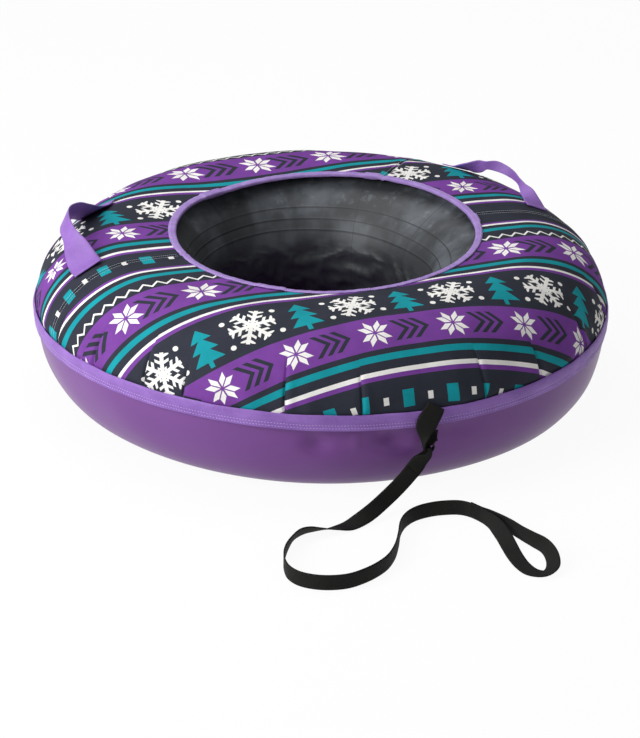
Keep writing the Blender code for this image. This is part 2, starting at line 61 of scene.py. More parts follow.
# %% [markdown]
# ## The sizes
# The cover, the pan and the tube are turned shapes, so a few radii and heights say most of it.
# They are the same as the solids' own, so that each new piece lands where its solid is.

# %% The sizes of the body
RIM_RADIUS = 0.482
RIM_HEIGHT = 0.138
BODY_HEIGHT = 0.266
CROWN_RADIUS = 0.337
FLOOR_RADIUS = 0.405
HOLE_RADIUS = 0.252
TUBE_INNER_RADIUS = 0.190
TUBE_FOOT_RADIUS = 0.290
WAIST_HEIGHT = 0.135
CLOTH_THICKNESS = 1.5 * MM
WEBBING_THICKNESS = 1.8 * MM
COVER_SQUARENESS = 1.9
PAN_SQUARENESS = 1.95
SEAMS = [math.radians(angle) for angle in (-4.5, 45.8, 184)]
RING_STEPS = 960
LEASH_WIDTH = 0.025
HITCH = Vector((-0.003, -0.496, 0.0925))
UP = Vector((0, 0, 1))


def ramp(value, start, end):
    """0 up to the start, 1 from the end on, and straight in between."""
    return np.clip((value - start) / (end - start), 0, 1)


def bell(off, width):
    """1 in the middle, fading to either side."""
    return np.exp(-(off / width) ** 2)


def nearest_turn(azimuth, centre):
    """The signed angle from a centre to an azimuth, at most half a turn, in radians."""
    return (azimuth - centre + math.pi) % math.tau - math.pi


def ring_places(azimuth, radius, level):
    """Places round the ring as rows of x, y, z."""
    return np.stack([radius * np.cos(azimuth), radius * np.sin(azimuth), level], axis=-1)


def lengths_along(points):
    """How far along a line of points each one is."""
    return np.concatenate([[0.0], np.cumsum(np.linalg.norm(np.diff(points, axis=0), axis=1))])


def quarter(centre_r, centre_z, half_r, half_z, squareness, start, end, steps):
    """Points of a quarter of an ellipse, as (radius, height). 0 points outward, 90 up.

    A squareness of 2 is a true ellipse and less is slimmer.
    """
    angle = np.radians(np.linspace(start, end, steps + 1))
    across = np.copysign(np.abs(np.cos(angle)) ** (2 / squareness), np.cos(angle))
    up = np.copysign(np.abs(np.sin(angle)) ** (2 / squareness), np.sin(angle))
    return np.stack([centre_r + half_r * across, centre_z + half_z * up], axis=1)


# %% [markdown]
# ## The camera
# The photograph was taken from a long way off with a long lens, a little above the tube, so the
# far rim hardly looks smaller than the near one. The place, the lens and the small shift were
# worked out from the outline of the ring in the picture.

# %% The camera
LOOKING_DOWN = math.radians(23.83)
FROM_THE_FRONT = math.radians(-20)


def put(name, data):
    """A new object in the scene."""
    thing = bpy.data.objects.new(name, data)
    scene.collection.objects.link(thing)
    return thing


camera_data = bpy.data.cameras.new("camera")
camera = put("camera", camera_data)
scene.camera = camera
camera.location = (-1.80204, -4.95104, 2.4715)
camera.rotation_euler = (math.pi / 2 - LOOKING_DOWN, 0, FROM_THE_FRONT)
camera_data.sensor_width = 36
camera_data.lens = 167.1
camera_data.shift_x = -0.00259
camera_data.shift_y = -0.09963
print("camera", tuple(round(x, 3) for x in camera.location), "lens", camera_data.lens)

# %% [markdown]
# ## Straps
# Webbing is a flat strap. It could be a curve with a flat bevel, but a curve's tilt is hard to
# steer through a twist. Here a flat grid is laid along rows that each know their middle, the
# direction across and the width, and Solidify gives it the thickness of the weave.

# %% Rows of a strap
def smooth_rows(rows, steps):
    """Catmull-Rom rows of (middle, across, width) through the given ones."""
    table = np.array([(*middle, *across, width) for middle, across, width in rows])
    padded = np.vstack([2 * table[0] - table[1], table, 2 * table[-1] - table[-2]])
    result = []
    for i in range(1, len(padded) - 2):
        before, here, after, later = padded[i - 1 : i + 3]
        for share in np.arange(steps) / steps:
            bend = 2 * before - 5 * here + 4 * after - later
            twist = 3 * here - before - 3 * after + later
            result.append(here + share * (after - before + share * (bend + share * twist)) / 2)
    result.append(padded[-2])
    return [(Vector(row[:3]), Vector(row[3:6]), float(row[6])) for row in result]


def leaning_rows(route, width):
    """Rows of a strap on a route in millimetres, each leaning by its own angle.

    At 0 degrees the strap stands on edge and at 90 it lies flat.
    """
    middles = [Vector(point[:3]) * MM for point in route]
    rows = []
    for index, point in enumerate(route):
        run = middles[min(index + 1, len(route) - 1)] - middles[max(index - 1, 0)]
        run.normalize()
        upright = (UP - run * run.z).normalized()
        sideways = UP.cross(run).normalized()
        lean = math.radians(point[3])
        rows.append((middles[index], upright * math.cos(lean) + sideways * math.sin(lean), width))
    return rows


def new_piece(name, bm, body, replaces=()):
    """Makes an object of a bmesh, in place, riding on a body."""
    mesh = bpy.data.meshes.new(name)
    bm.to_mesh(mesh)
    bm.free()
    mesh.shade_smooth()
    piece = put(name, mesh)
    if body:
        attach(piece, body)
    if replaces:
        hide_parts(*replaces)
    print(name, len(mesh.polygons), "faces")
    return piece


def thicken(piece, thickness, offset=-1.0):
    """Gives a sheet its thickness, inward (-1) or to both sides (0)."""
    solid = piece.modifiers.new("Thickness", "SOLIDIFY")
    solid.thickness = thickness
    solid.offset = offset
    solid.use_even_offset = True


def strap_mesh(rows, across_steps=8):
    """A grid laid along rows of a strap, with a UV map in metres along and across it."""
    bm = bmesh.new()
    bmesh.ops.create_grid(bm, x_segments=len(rows) - 1, y_segments=across_steps, size=0.5)
    cloth = bm.loops.layers.uv.new("Cloth")
    lengths = np.cumsum([0.0] + [(b[0] - a[0]).length for a, b in zip(rows, rows[1:])])
    places = {}
    for vert in bm.verts:
        index = round((vert.co.x + 0.5) * (len(rows) - 1))
        share = vert.co.y * 2
        middle, across, width = rows[index]
        run = (rows[min(index + 1, len(rows) - 1)][0] - rows[max(index - 1, 0)][0]).normalized()
        square = (across - run * across.dot(run)).normalized()
        places[vert] = (lengths[index], share * width / 2)
        vert.co = middle + square * share * width / 2
    for face in bm.faces:
        for loop in face.loops:
            loop[cloth].uv = places[loop.vert]
    return bm


# %% [markdown]
# ## The tow leash
# One length of black webbing runs from its eye, round the tab on the rim, over the ground and
# into the hand loop at its end. The photograph shows all of it, so its length is the leash's
# length. It is limp, so it lies on the ground on its edge or flat and leans in between.

# %% The leash's route, as millimetres in x, y and z and degrees of lean
LEASH_ROUTE = [
    (-20, -495, 66, 140), (-40, -502, 50, 140), (-61, -509, 36, 138), (-86, -520, 24.5, 136),
    (-112, -532, 15, 130), (-137, -541, 8, 112), (-158, -544, 3, 92), (-182, -549, 6, 70),
    (-203, -548, 8.5, 55), (-222, -548, 10.5, 42), (-242, -557, 12, 30), (-260, -577, 12.8, 18),
    (-279, -605, 13, 5), (-292, -635, 13, 0), (-297, -667, 13, 0), (-289, -693, 13, 0),
    (-270, -712, 13, 0), (-246, -723, 13, 0), (-220, -726, 13, 0), (-193, -719, 13, 0),
    (-168, -707, 13, 0), (-144, -689, 13, 0), (-122, -661, 13, 0), (-104, -628, 13, 0),
    (-88, -595, 13, 0), (-70, -572, 13, 0), (-48, -558, 13, 0), (-22, -553, 13, 0),
    (2, -555, 13, 0), (23, -562, 13, 0), (36, -575, 13, 0), (45, -595, 13, 0),
]
LOOP_ROUTE = [
    (49.5, -610, 13, 4), (53, -626, 12.7, 18), (55, -646, 10.8, 42), (55, -668, 7.8, 62),
    (53, -692, 4.8, 78), (50, -722, 3, 86), (49.5, -751, 2.2, 90), (54.5, -777, 2.6, 92),
    (69, -790.5, 4.2, 100), (85, -783, 6.8, 114), (95, -762, 9.5, 132), (98.5, -740, 11.9, 150),
    (97, -720, 13, 165), (90, -700, 13, 174), (82, -676, 13, 180), (75, -651, 13, 180),
    (66.5, -629, 13, 180), (56.5, -608.5, 13, 180), (47.5, -594, 13, 180), (38.3, -573.7, 13, 180),
]

# %% The leash's eye, from its sewn-back end over the tab and down again
# Each row is a place in millimetres from the hitch, the way across, and a share of the width.
EYE_FRONT = [
    (-27.6, -5.2, -32.7, (0.63, -0.44, -0.64), 1.00),
    (-16.8, -2.3, -24, (0.65, -0.42, -0.63), 0.92),
    (-8, -5, -17.3, (0.82, -0.22, -0.52), 0.64),
    (-3, -7, -12.5, (0.95, -0.08, -0.30), 0.44),
]
EYE_REAR = [
    (-2.5, 7, -13, (0.95, -0.08, -0.30), 0.44),
    (-7.5, 5.2, -19, (0.82, -0.26, -0.50), 0.68),
]
EYE_SPAN = 0.0071
NECK_WIDTH = 0.007


def hung_rows(table, origin):
    """Rows of a strap from a table of millimetres from an origin, way across and share of width."""
    return [
        (origin + Vector(place) * MM, Vector(across), share * LEASH_WIDTH)
        for *place, across, share in table
    ]


eye_top = []
for angle in np.radians(np.linspace(180, 0, 5)):
    sink = 2.0 * MM + EYE_SPAN * (1 - math.sin(angle)) * 0.45
    place = HITCH + Vector((0, EYE_SPAN * math.cos(angle), -sink))
    eye_top.append((place, Vector((1, 0, 0)), NECK_WIDTH))

leash_rows = hung_rows(EYE_FRONT, HITCH) + eye_top + hung_rows(EYE_REAR, HITCH)
leash_rows += leaning_rows(LEASH_ROUTE + LOOP_ROUTE, LEASH_WIDTH)
leash_rows = smooth_rows(leash_rows, 5)
leash = new_piece(
    "leash_strap", strap_mesh(leash_rows), "leash", ("tow_leash", "hand_loop")
)
thicken(leash, WEBBING_THICKNESS, 0.0)

# %% [markdown]
# The hand loop is closed by a block of stitching through both plies. It is a piece of its own on
# the leash, a flat pad of thread that stands a little proud on both sides.

# %% The sewn block at the hand loop
JOINT_PLACE = Vector((0.0406, -0.5845, 0.0130))
JOINT_RUN = Vector((0.0095, -0.0205, 0.0)).normalized()
JOINT_FACE = Vector((JOINT_RUN.y, -JOINT_RUN.x, 0.0))
HALF_JOINT = 2.2 * MM


def stitch(bm, place, run, face, length=3.6 * MM, width=0.9 * MM, height=0.7 * MM):
    """One visible stitch: a small round-ended bead of thread, long way along its row."""
    side = face.cross(run).normalized()
    turn = Matrix((run * length / 2, side * width / 2, face * height / 2)).transposed().to_4x4()
    turn.translation = place
    bmesh.ops.create_icosphere(bm, subdivisions=1, radius=1.0, matrix=turn)


bm = bmesh.new()
for side in (-1, 1):
    skin = JOINT_PLACE + JOINT_FACE * side * HALF_JOINT
    for level in np.linspace(-9.0, 9.0, 5) * MM:
        for step in np.linspace(-8.0, 8.0, 5) * MM:
            place = skin + JOINT_RUN * step + UP * level
            stitch(bm, place, JOINT_RUN, JOINT_FACE * side)
loop_tack = new_piece("hand_loop_tack", bm, "leash")

# %% [markdown]
# ## How the cloth sits
# The cover is cut flat and sewn with darts near the rim, where a flat disc has too much edge for
# the ring. One function says where any point of the finished cover is, so the panels, the tapes
# and every row of stitches agree. It starts from the turned shape and adds what sewing does:
# valleys at the seams, folds at the darts, small gathers at the rim and a rim that isn't level.

# %% The turned line of the cover
COVER_FOOT = RIM_HEIGHT + 0.7 * MM
EDGE_RADIUS = HOLE_RADIUS + 3.0 * MM
COLLAR_DROP = 4.0 * MM
shoulder = quarter(
    CROWN_RADIUS, COVER_FOOT, RIM_RADIUS - CROWN_RADIUS, BODY_HEIGHT - COVER_FOOT, COVER_SQUARENESS,
    90, 0, 400,
)
collar_share = np.linspace(0, 1, 60)[:-1]
collar = np.stack([
    EDGE_RADIUS + (CROWN_RADIUS - EDGE_RADIUS) * collar_share,
    BODY_HEIGHT - COLLAR_DROP * (1 - collar_share) ** 2,
], axis=1)
cover_line = np.vstack([collar, shoulder])
inward = cover_line[0] - (cover_line[1] - cover_line[0]) * 8
cover_line = np.vstack([inward, cover_line])
cover_along = lengths_along(cover_line)
cover_along -= cover_along[1]
slopes = np.gradient(cover_line, axis=0)
slopes /= np.linalg.norm(slopes, axis=1)[:, None]
cover_normals = np.stack([-slopes[:, 1], slopes[:, 0]], axis=1)
COVER_LENGTH = cover_along[-1]
CROWN_ALONG = float(np.interp(CROWN_RADIUS, cover_line[:, 0], cover_along))
print("cloth from the hole to the rim", round(COVER_LENGTH, 3))

# %% Where the ring isn't round or level, as degrees round it and millimetres
# How far the rim stands above its height.
RIM_WAVE = [
    (-176, 8), (-160, 13), (-143, 14), (-128, 12), (-112, 7.5), (-98, 5), (-86, 1.5), (-70, 0),
    (-55, -3), (-40, -6), (-15, -4), (20, -1), (70, 0), (120, 0), (160, 4),
]
# How far the hole's edge lies outward.
HOLE_WANDER = [
    (-165, -11), (-137, -12), (-124, -4), (-105, 2), (-60, 1), (-17, 4), (20, 3), (49, 2.5),
    (63, 1.5), (90, -6), (113, -15), (125, -4), (140, -5), (163, -10),
]
# How far the rim lies outward.
RIM_SPREAD = [
    (-70, 0), (-45, -3), (-20, -6), (5, -7), (25, -4), (50, 0), (130, 0), (160, -2), (-160, -2),
    (-130, 0),
]
# How full the shoulder is: less than 0 is drawn in.
FULLNESS = [
    (-60, 0), (-45, -1), (-25, -4), (-10, -8), (5, -9), (20, -7), (34, -5), (50, -5), (65, -2),
    (80, 0), (150, 1), (-160, 1),
]
# How far the pan's foot lies outward.
FOOT_SPREAD = [
    (-175, -9), (-150, -12), (-130, -8), (-112, -2), (-85, 2), (-60, 7), (-35, 5), (-10, 0),
    (160, -2),
]


def round_the_ring(table, azimuth):
    """A smooth value in metres at each azimuth, from a few (degrees, millimetres)."""
    angles, values = np.array(sorted(table), float).T * [[1], [MM]]
    angles = np.concatenate([angles - 360, angles, angles + 360])
    values = np.tile(values, 3)
    degrees = (np.degrees(azimuth) + 180) % 360 - 180
    spread = np.linspace(-8, 8, 9)
    return sum(np.interp(degrees + step, angles, values) for step in spread) / len(spread)


# %% Darts: where each is, and how far it reaches up from the rim
DARTS = [
    (-173.5, 0.075), (-159.5, 0.085), (-146, 0.095), (-137, 0.070), (-117, 0.110), (-102.5, 0.080),
    (-77.7, 0.095), (-63.4, 0.080), (-47, 0.090), (-31, 0.075), (-14, 0.085), (12, 0.080),
    (29, 0.090), (58, 0.080), (76, 0.090), (93, 0.075), (111, 0.090), (127, 0.080), (145, 0.085),
    (163, 0.080),
]
DART_TURNS = [math.radians(degrees) for degrees, _ in DARTS]
DART_TAKE = 0.14
DART_REACH = 0.115

# %% Soft folds: waves round the ring, where they start, their height, and their reach up the cloth
SOFT_FOLDS = [
    (14, 0.4, 1.8, 0.120), (23, 2.1, 1.6, 0.085), (37, 4.0, 1.4, 0.050), (61, 0.0, 1.0, 0.022),
    (97, 2.0, 0.7, 0.018), (143, 4.0, 0.4, 0.014),
]


def cover_at(along, table):
    """What a table of the cover's line says at lengths from the hole's edge, outward and up."""
    return [np.interp(along, cover_along, column) for column in table.T]


def cloth_lift(azimuth, along):
    """How far the cloth stands off its turned shape at a place on the cover."""
    radius = cover_at(along, cover_line)[0]
    below = COVER_LENGTH - along
    lift = 1.3 * MM * np.sin(3 * azimuth + 7 * along) * np.sin(9 * along + 1.0)
    lift += 0.8 * MM * np.sin(11 * azimuth + 1.7) * np.sin(23 * along)
    for waves, turn, height, reach in SOFT_FOLDS:
        lift += height * MM * np.sin(waves * azimuth + turn + 6 * along) * np.exp(-below / reach)
    for seam in SEAMS:
        off = nearest_turn(azimuth, seam) * radius
        lift -= 1.6 * MM * bell(off, 1.8 * MM)
        lift += 0.8 * MM * bell(np.abs(off) - 9 * MM, 6 * MM)
    for turn, (_, reach) in zip(DART_TURNS, DARTS):
        off = nearest_turn(azimuth, turn) * radius
        fade = ramp(below, reach, 0)
        fade = fade * (2 - fade)
        lift -= fade * 4.2 * MM * bell(off, 2.4 * MM)
        lift += fade * 2.4 * MM * bell(off - 9 * MM, 8 * MM)
        lift += fade * 1.0 * MM * bell(off + 10 * MM, 8 * MM)
    held = ramp(below, 5 * MM, 18 * MM)
    return lift * held - 1.2 * MM * (1 - held)


def on_cover(azimuth, along, height=0.0):
    """Places on the finished cover, for arrays of azimuths and lengths from the hole's edge."""
    azimuth = np.asarray(azimuth, float)
    along = np.asarray(along, float)
    share = ramp(along, 0, COVER_LENGTH)
    slack = round_the_ring(FULLNESS, azimuth) * np.sin(math.pi * share ** 0.8) ** 2
    stand = cloth_lift(azimuth, along) + slack + height
    radius, level = cover_at(along, cover_line)
    normal_out, normal_up = cover_at(along, cover_normals)
    radius = radius + stand * normal_out
    level = level + stand * normal_up
    radius = radius + round_the_ring(HOLE_WANDER, azimuth) * ramp(along, CROWN_ALONG, 0)
    rim_fade = ramp(along, CROWN_ALONG, COVER_LENGTH) ** 2
    radius = radius + round_the_ring(RIM_SPREAD, azimuth) * rim_fade
    level = level + round_the_ring(RIM_WAVE, azimuth) * rim_fade
    return ring_places(azimuth, radius, level)


# %% [markdown]
# ## The printed panels
# The top is three panels of printed polyester, joined by double topstitched seams. Each could be
# a cloth simulation over the tube, but the cut is known, so a spun strip is quicker: a profile is
# spun through the panel's angle and each point is then moved onto the finished cover.
# The print lies flat on the uncut cloth. Each point's place on the flat cloth is kept as the UV
# map, so the stripes run straight over the ring, bend where it curves and jump at the darts.

# %% Reading and writing a mesh's numbers all at once
def points_of(mesh):
    """All of a mesh's points as rows of x, y, z."""
    numbers = np.empty(len(mesh.vertices) * 3)
    mesh.vertices.foreach_get("co", numbers)
    return numbers.reshape(-1, 3)


def move_points(mesh, places):
    """Moves all of a mesh's points."""
    mesh.vertices.foreach_set("co", np.asarray(places, float).ravel())
    mesh.update()


def corners_of(mesh):
    """For each face corner, its point's number and the middle of its face."""
    points = np.empty(len(mesh.loops), int)
    mesh.loops.foreach_get("vertex_index", points)
    sides = np.empty(len(mesh.polygons), int)
    mesh.polygons.foreach_get("loop_total", sides)
    middles = np.empty(len(mesh.polygons) * 3)
    mesh.polygons.foreach_get("center", middles)
    return points, np.repeat(middles.reshape(-1, 3), sides, axis=0)


def write_map(mesh, name, places):
    """Writes a UV map, one place for each face corner."""
    mesh.uv_layers.new(name=name).data.foreach_set("uv", np.asarray(places, float).ravel())


# %% Spinning a line round the ring
def spun(points, steps, angle=math.tau, closed=False):
    """Spins a line or a closed outline of (radius, height) round the ring's axis."""
    full = angle == math.tau
    bm = bmesh.new()
    line = [bm.verts.new((radius, 0, level)) for radius, level in points]
    edges = [bm.edges.new(pair) for pair in zip(line, line[1:] + (line[:1] if closed else []))]
    bmesh.ops.spin(
        bm, geom=line + edges, cent=(0, 0, 0), axis=(0, 0, 1), angle=angle, steps=steps,
        use_merge=full, use_duplicate=False,
    )
    if full:
        bmesh.ops.remove_doubles(bm, verts=bm.verts, dist=0.01 * MM)
    bmesh.ops.recalc_face_normals(bm, faces=bm.faces)
    return bm


def face_up(bm, way):
    """Turns an open surface so that its faces look up (1) or down (-1)."""
    if sum(face.normal.z * face.calc_area() for face in bm.faces) * way < 0:
        bmesh.ops.reverse_faces(bm, faces=bm.faces)


# %% The panels' points lie closer together at the seams and darts
ALONG_ROWS = 72
ROW_PLACES = COVER_LENGTH * (1 - (1 - np.linspace(0, 1, ALONG_ROWS + 1)) ** 1.25)
fine_turn = np.linspace(-math.tau, math.tau, 14401)
closeness = np.ones_like(fine_turn)
for centre in SEAMS + DART_TURNS:
    closeness += 3.5 * bell(nearest_turn(fine_turn, centre), math.radians(1.6))
crowding = np.concatenate([[0.0], np.cumsum((closeness[1:] + closeness[:-1]) / 2)])
crowding = crowding / crowding[-1] * 2 * math.tau - math.tau

# %% The panels
def flat_cloth(azimuth, along, sector, turn, shift):
    """Where a place on the cover was on the flat cloth before the darts were sewn."""
    darts = np.sort(DART_TURNS)
    darts = np.concatenate([[darts[-1] - math.tau], darts, [darts[0] + math.tau]])
    wrapped = nearest_turn(sector, 0.0)
    index = np.clip(np.searchsorted(darts, wrapped, side="right"), 1, len(darts) - 1)
    middle = (darts[index] + darts[index - 1]) / 2
    take = DART_TAKE * ramp(COVER_LENGTH - along, DART_REACH, 0)
    spread = azimuth - nearest_turn(azimuth, middle) * take + turn
    reach = EDGE_RADIUS + along
    return ring_places(spread, reach, 0 * reach)[:, :2] + shift


def cloth_panel(name, start, end, turn, shift):
    """Spins one panel, moves it onto the finished cover and keeps its flat places as UV."""
    low, high = (float(np.interp(angle, fine_turn, crowding)) for angle in (start, end))
    gap = 0.15 * MM / HOLE_RADIUS
    steps = round((high - low) / math.tau * RING_STEPS)
    bm = spun([(EDGE_RADIUS + along, 0) for along in ROW_PLACES], steps, high - low)
    face_up(bm, 1)
    panel = new_piece(name, bm, "tube", (name.replace("cloth_", "top_"),))
    flat = points_of(panel.data)
    corners, middles = corners_of(panel.data)
    along = np.hypot(flat[:, 0], flat[:, 1]) - EDGE_RADIUS

    def placed_turn(points):
        """The azimuth round the ring that an even step of the spin stands for."""
        even = np.arctan2(points[:, 1], points[:, 0]) % math.tau
        even = np.where(even > high - low + 1e-5, 0.0, even)
        azimuth = np.interp(even + low, crowding, fine_turn)
        return np.clip(azimuth, start + gap, end - gap)

    azimuth = placed_turn(flat)
    spots = flat_cloth(azimuth[corners], along[corners], placed_turn(middles), turn, shift)
    write_map(panel.data, "Print", spots)
    move_points(panel.data, on_cover(azimuth, along))
    thicken(panel, CLOTH_THICKNESS)
    print("  area", round(sum(face.area for face in panel.data.polygons), 3))
    return panel


panels = [
    cloth_panel("cloth_panel_front", SEAMS[2], SEAMS[0] + math.tau, 0.0, (0.0, 0.0)),
    cloth_panel("cloth_panel_rear_left", SEAMS[1], SEAMS[2], 0.0, (0.0, 0.0)),
    cloth_panel("cloth_panel_rear_right", SEAMS[0], SEAMS[1], 0.03, (0.050, -0.018)),
]

# %% How tall each panel's share of the flat ring of cloth is; the number is not used
PANEL_ANGLES = (171.5, 138.2, 50.3)
outer_radius = EDGE_RADIUS + COVER_LENGTH
for panel, angle in zip(panels, PANEL_ANGLES):
    height = outer_radius - EDGE_RADIUS * math.cos(math.radians(angle) / 2)

# %% [markdown]
# ## The tape round the hole
# The raw edge of the hole is closed by a folded tape. Its section is a hairpin that wraps the
# cloth, spun all the way round and then moved with the cloth. Where its two ends overlap it is
# double, and it puckers a little because a straight tape goes round a curve.

# %% The hole's binding, as millimetres from the hole's edge and off the cloth
TAPE_SECTION = [
    (12.4, 0.35), (12.6, 1.2), (12.2, 1.9), (9.0, 2.15), (5.0, 2.3), (1.0, 2.45), (-1.6, 2.2),
    (-3.1, 1.2), (-3.7, -0.6), (-3.2, -2.4), (-1.6, -3.6), (1.0, -3.9), (6.0, -3.8), (11.5, -3.6),
    (12.0, -2.9), (11.6, -2.1), (0.2, -1.9), (-0.5, -0.8), (0.2, 0.3),
]
# Where the tape's ends overlap, and half how far, in degrees.
TAPE_JOINS = [(50.5, 3.0), (-8.0, 4.0), (119.0, 5.0), (-129.0, 6.0)]
TAPE_STEP = 0.0025
# The radius at which the maps of both tapes turn an angle into metres.
MAP_RADIUS = 0.4


def ring_piece(name, section, steps, place, node):
    """Spins a closed section of (millimetres, millimetres) round the ring and places each point."""
    bm = spun([(1 + across * MM, up * MM) for across, up in section], steps, closed=True)
    piece = new_piece(name, bm, "tube", (node,))
    flat = points_of(piece.data)
    corners, middles = corners_of(piece.data)
    azimuth = np.arctan2(flat[:, 1], flat[:, 0])
    across = np.hypot(flat[:, 0], flat[:, 1]) - 1
    centres = np.arctan2(middles[:, 1], middles[:, 0])
    near = centres + nearest_turn(azimuth[corners], centres)
    spots = np.stack([near * MAP_RADIUS, (across + flat[:, 2])[corners]], axis=-1)
    write_map(piece.data, "Cloth", spots)
    move_points(piece.data, place(azimuth, across, flat[:, 2]))
    return piece


def on_hole_edge(azimuth, along, height):
    """Places on the tape, which is narrower here and there and double where its ends overlap."""
    pucker = 0.35 * MM * np.sin(70 * azimuth) * np.sin(33 * azimuth + 1)
    double = 0.0
    for centre, half in np.radians(TAPE_JOINS):
        off = np.abs(nearest_turn(azimuth, centre))
        double = double + 1.3 * MM * ramp(off, half, half - TAPE_STEP)
    above = height > -1 * MM
    stretch = 0.72 + 0.06 * np.sin(azimuth * 2 + 2.6) + np.where(double > 0, 0.12, 0)
    along = along * np.where(above, stretch, 1)
    return on_cover(azimuth, along, height + (pucker + double) * np.where(above, 1, -1))


hole_tape = ring_piece("hole_tape", TAPE_SECTION, 720, on_hole_edge, "hole_binding")

# %% [markdown]
# ## The bound rim
# Cover and pan meet in a raised seam all round, wrapped in tape and sewn twice. The tape is
# broader than the seam is deep, so it rolls over at the top and its upper edge stands free of
# the cloth. The section is spun as before.

# %% The rim's tape
RIM_SECTION = [
    (0.4, 7.6), (0.9, 9.0), (1.8, 9.4), (2.7, 8.8), (3.6, 6.4), (4.2, 3.0), (4.3, -0.5),
    (4.0, -4.0), (3.4, -7.4), (3.0, -8.4), (3.2, -9.4), (3.4, -10.8), (3.0, -12.2), (2.7, -13.2),
    (2.9, -14.4), (2.8, -17.0), (2.2, -17.9), (1.2, -17.6), (0.5, -16.0), (0.4, -8.0), (0.4, 0.0),
]


def on_rim(azimuth, across, height):
    """Places on the rim's tape, which puckers a little between its stitches."""
    radius = RIM_RADIUS + across + round_the_ring(RIM_SPREAD, azimuth)
    radius = radius + 0.35 * MM * np.sin(47 * azimuth) * np.sin(13 * azimuth + 2)
    level = RIM_HEIGHT + height + round_the_ring(RIM_WAVE, azimuth)
    level = level + 0.4 * MM * np.sin(29 * azimuth + 1) * (height > 0)
    return ring_places(azimuth, radius, level)


rim_tape = ring_piece("rim_tape", RIM_SECTION, 720, on_rim, "rim_binding")

# %% [markdown]
# ## The pan
# The bottom is coated cloth: smooth, a little stiff and glossy. It is spun from the rim down to
# the ground and in to the middle, then dented where it hangs slack between the darts' pull.

# %% The pan, with its dents as degrees and as height, half width, half height and depth in millimetres
DENTS = [
    (-110.8, 96, 20, 17, 12), (-97, 101, 23, 14, 17), (-84, 105, 40, 16, 5),
    (-103.6, 100, 9, 16, -4), (-103, 60, 120, 20, -1.5), (-140, 105, 70, 20, 1.5),
    (-95, 82, 18, 11, 8), (-102, 116, 95, 20, 6.5), (-118, 112, 50, 12, 3), (-91, 78, 50, 16, 4),
    (-66, 100, 60, 25, 2), (-30, 100, 60, 30, 3), (8, 105, 50, 25, 4), (38, 95, 60, 25, 3),
    (75, 105, 60, 20, 5), (120, 100, 60, 30, 3.5), (165, 100, 50, 30, 2.5),
]
pan_wall = quarter(
    FLOOR_RADIUS, RIM_HEIGHT, RIM_RADIUS - FLOOR_RADIUS, RIM_HEIGHT, PAN_SQUARENESS, 0, -90, 56
)
pan_line = [*pan_wall, *((radius, 0.0) for radius in np.linspace(FLOOR_RADIUS, 0, 14)[1:])]


def pan_shape(azimuth, radius, level):
    """The pan's points with its rim's wave, its dents and its slack."""
    rise = ramp(level, 0, RIM_HEIGHT)
    moved = radius + 0.7 * MM * np.sin(17 * azimuth + 30 * level) * np.sin(math.pi * rise) ** 2
    moved = moved + round_the_ring(RIM_SPREAD, azimuth) * rise
    foot = (1 - rise) ** 1.5 * ramp(radius, 0, FLOOR_RADIUS)
    moved = moved + round_the_ring(FOOT_SPREAD, azimuth) * foot
    for degrees, *size in DENTS:
        height, half_width, half_height, depth = np.array(size) * MM
        off = nearest_turn(azimuth, math.radians(degrees)) * RIM_RADIUS
        moved = moved - depth * bell(off, half_width) * bell(level - height, half_height) * rise
    level = level + round_the_ring(RIM_WAVE, azimuth) * rise ** 1.6
    return ring_places(azimuth, moved, level)


def move_turned(mesh, shape):
    """Moves a spun mesh by a function of azimuth, radius and height."""
    x, y, level = points_of(mesh).T
    move_points(mesh, shape(np.arctan2(y, x), np.hypot(x, y), level))


bm = spun(pan_line, 480)
face_up(bm, -1)
pan = new_piece("pan_cloth", bm, "tube", ("bottom_pan",))
move_turned(pan.data, pan_shape)
thicken(pan, CLOTH_THICKNESS)

# %% [markdown]
# ## The inner tube
# The tube is moulded butyl rubber. Inside the hole it shows the fine raised lines of the mould
# and, below its waist, folds where the ring was packed and never filled flat again. A closed
# section is spun, and the lines and folds are moved into the fine mesh.

# %% The tube, with how far its inner wall lies outward, as degrees and millimetres
MOULD_LINES = (0.2137, 0.1975, 0.181)
WALL_SPREAD = [
    (-60, -3), (-35, -8), (-14, -14), (8, -20), (25, -19), (43, -12), (55, -6), (75, 1), (98, 10),
    (125, 12), (150, 9), (180, 4), (-140, 0), (-90, 0),
]
# How far the tube stays inside the cover and the pan.
INSET = 1.8 * MM
TOP_INSET = 8.0 * MM
OUTER_INSET = 20.0 * MM
INNER_SQUARENESS = 2.0
tube_top = BODY_HEIGHT - TOP_INSET
outer_up = quarter(
    CROWN_RADIUS, RIM_HEIGHT, RIM_RADIUS - CROWN_RADIUS - OUTER_INSET, tube_top - RIM_HEIGHT,
    COVER_SQUARENESS, 90, 0, 24,
)
outer_down = quarter(
    FLOOR_RADIUS, RIM_HEIGHT, RIM_RADIUS - FLOOR_RADIUS - OUTER_INSET, RIM_HEIGHT - INSET,
    PAN_SQUARENESS, 0, -90, 24,
)
inner_down = quarter(
    TUBE_FOOT_RADIUS, WAIST_HEIGHT, TUBE_FOOT_RADIUS - TUBE_INNER_RADIUS, WAIST_HEIGHT - INSET,
    INNER_SQUARENESS, 270, 180, 40,
)
inner_up = quarter(
    CROWN_RADIUS, WAIST_HEIGHT, CROWN_RADIUS - TUBE_INNER_RADIUS, tube_top - WAIST_HEIGHT,
    INNER_SQUARENESS, 180, 90, 150,
)
tube_line = np.vstack([outer_up[1:], outer_down[1:], inner_down, inner_up[1:]])


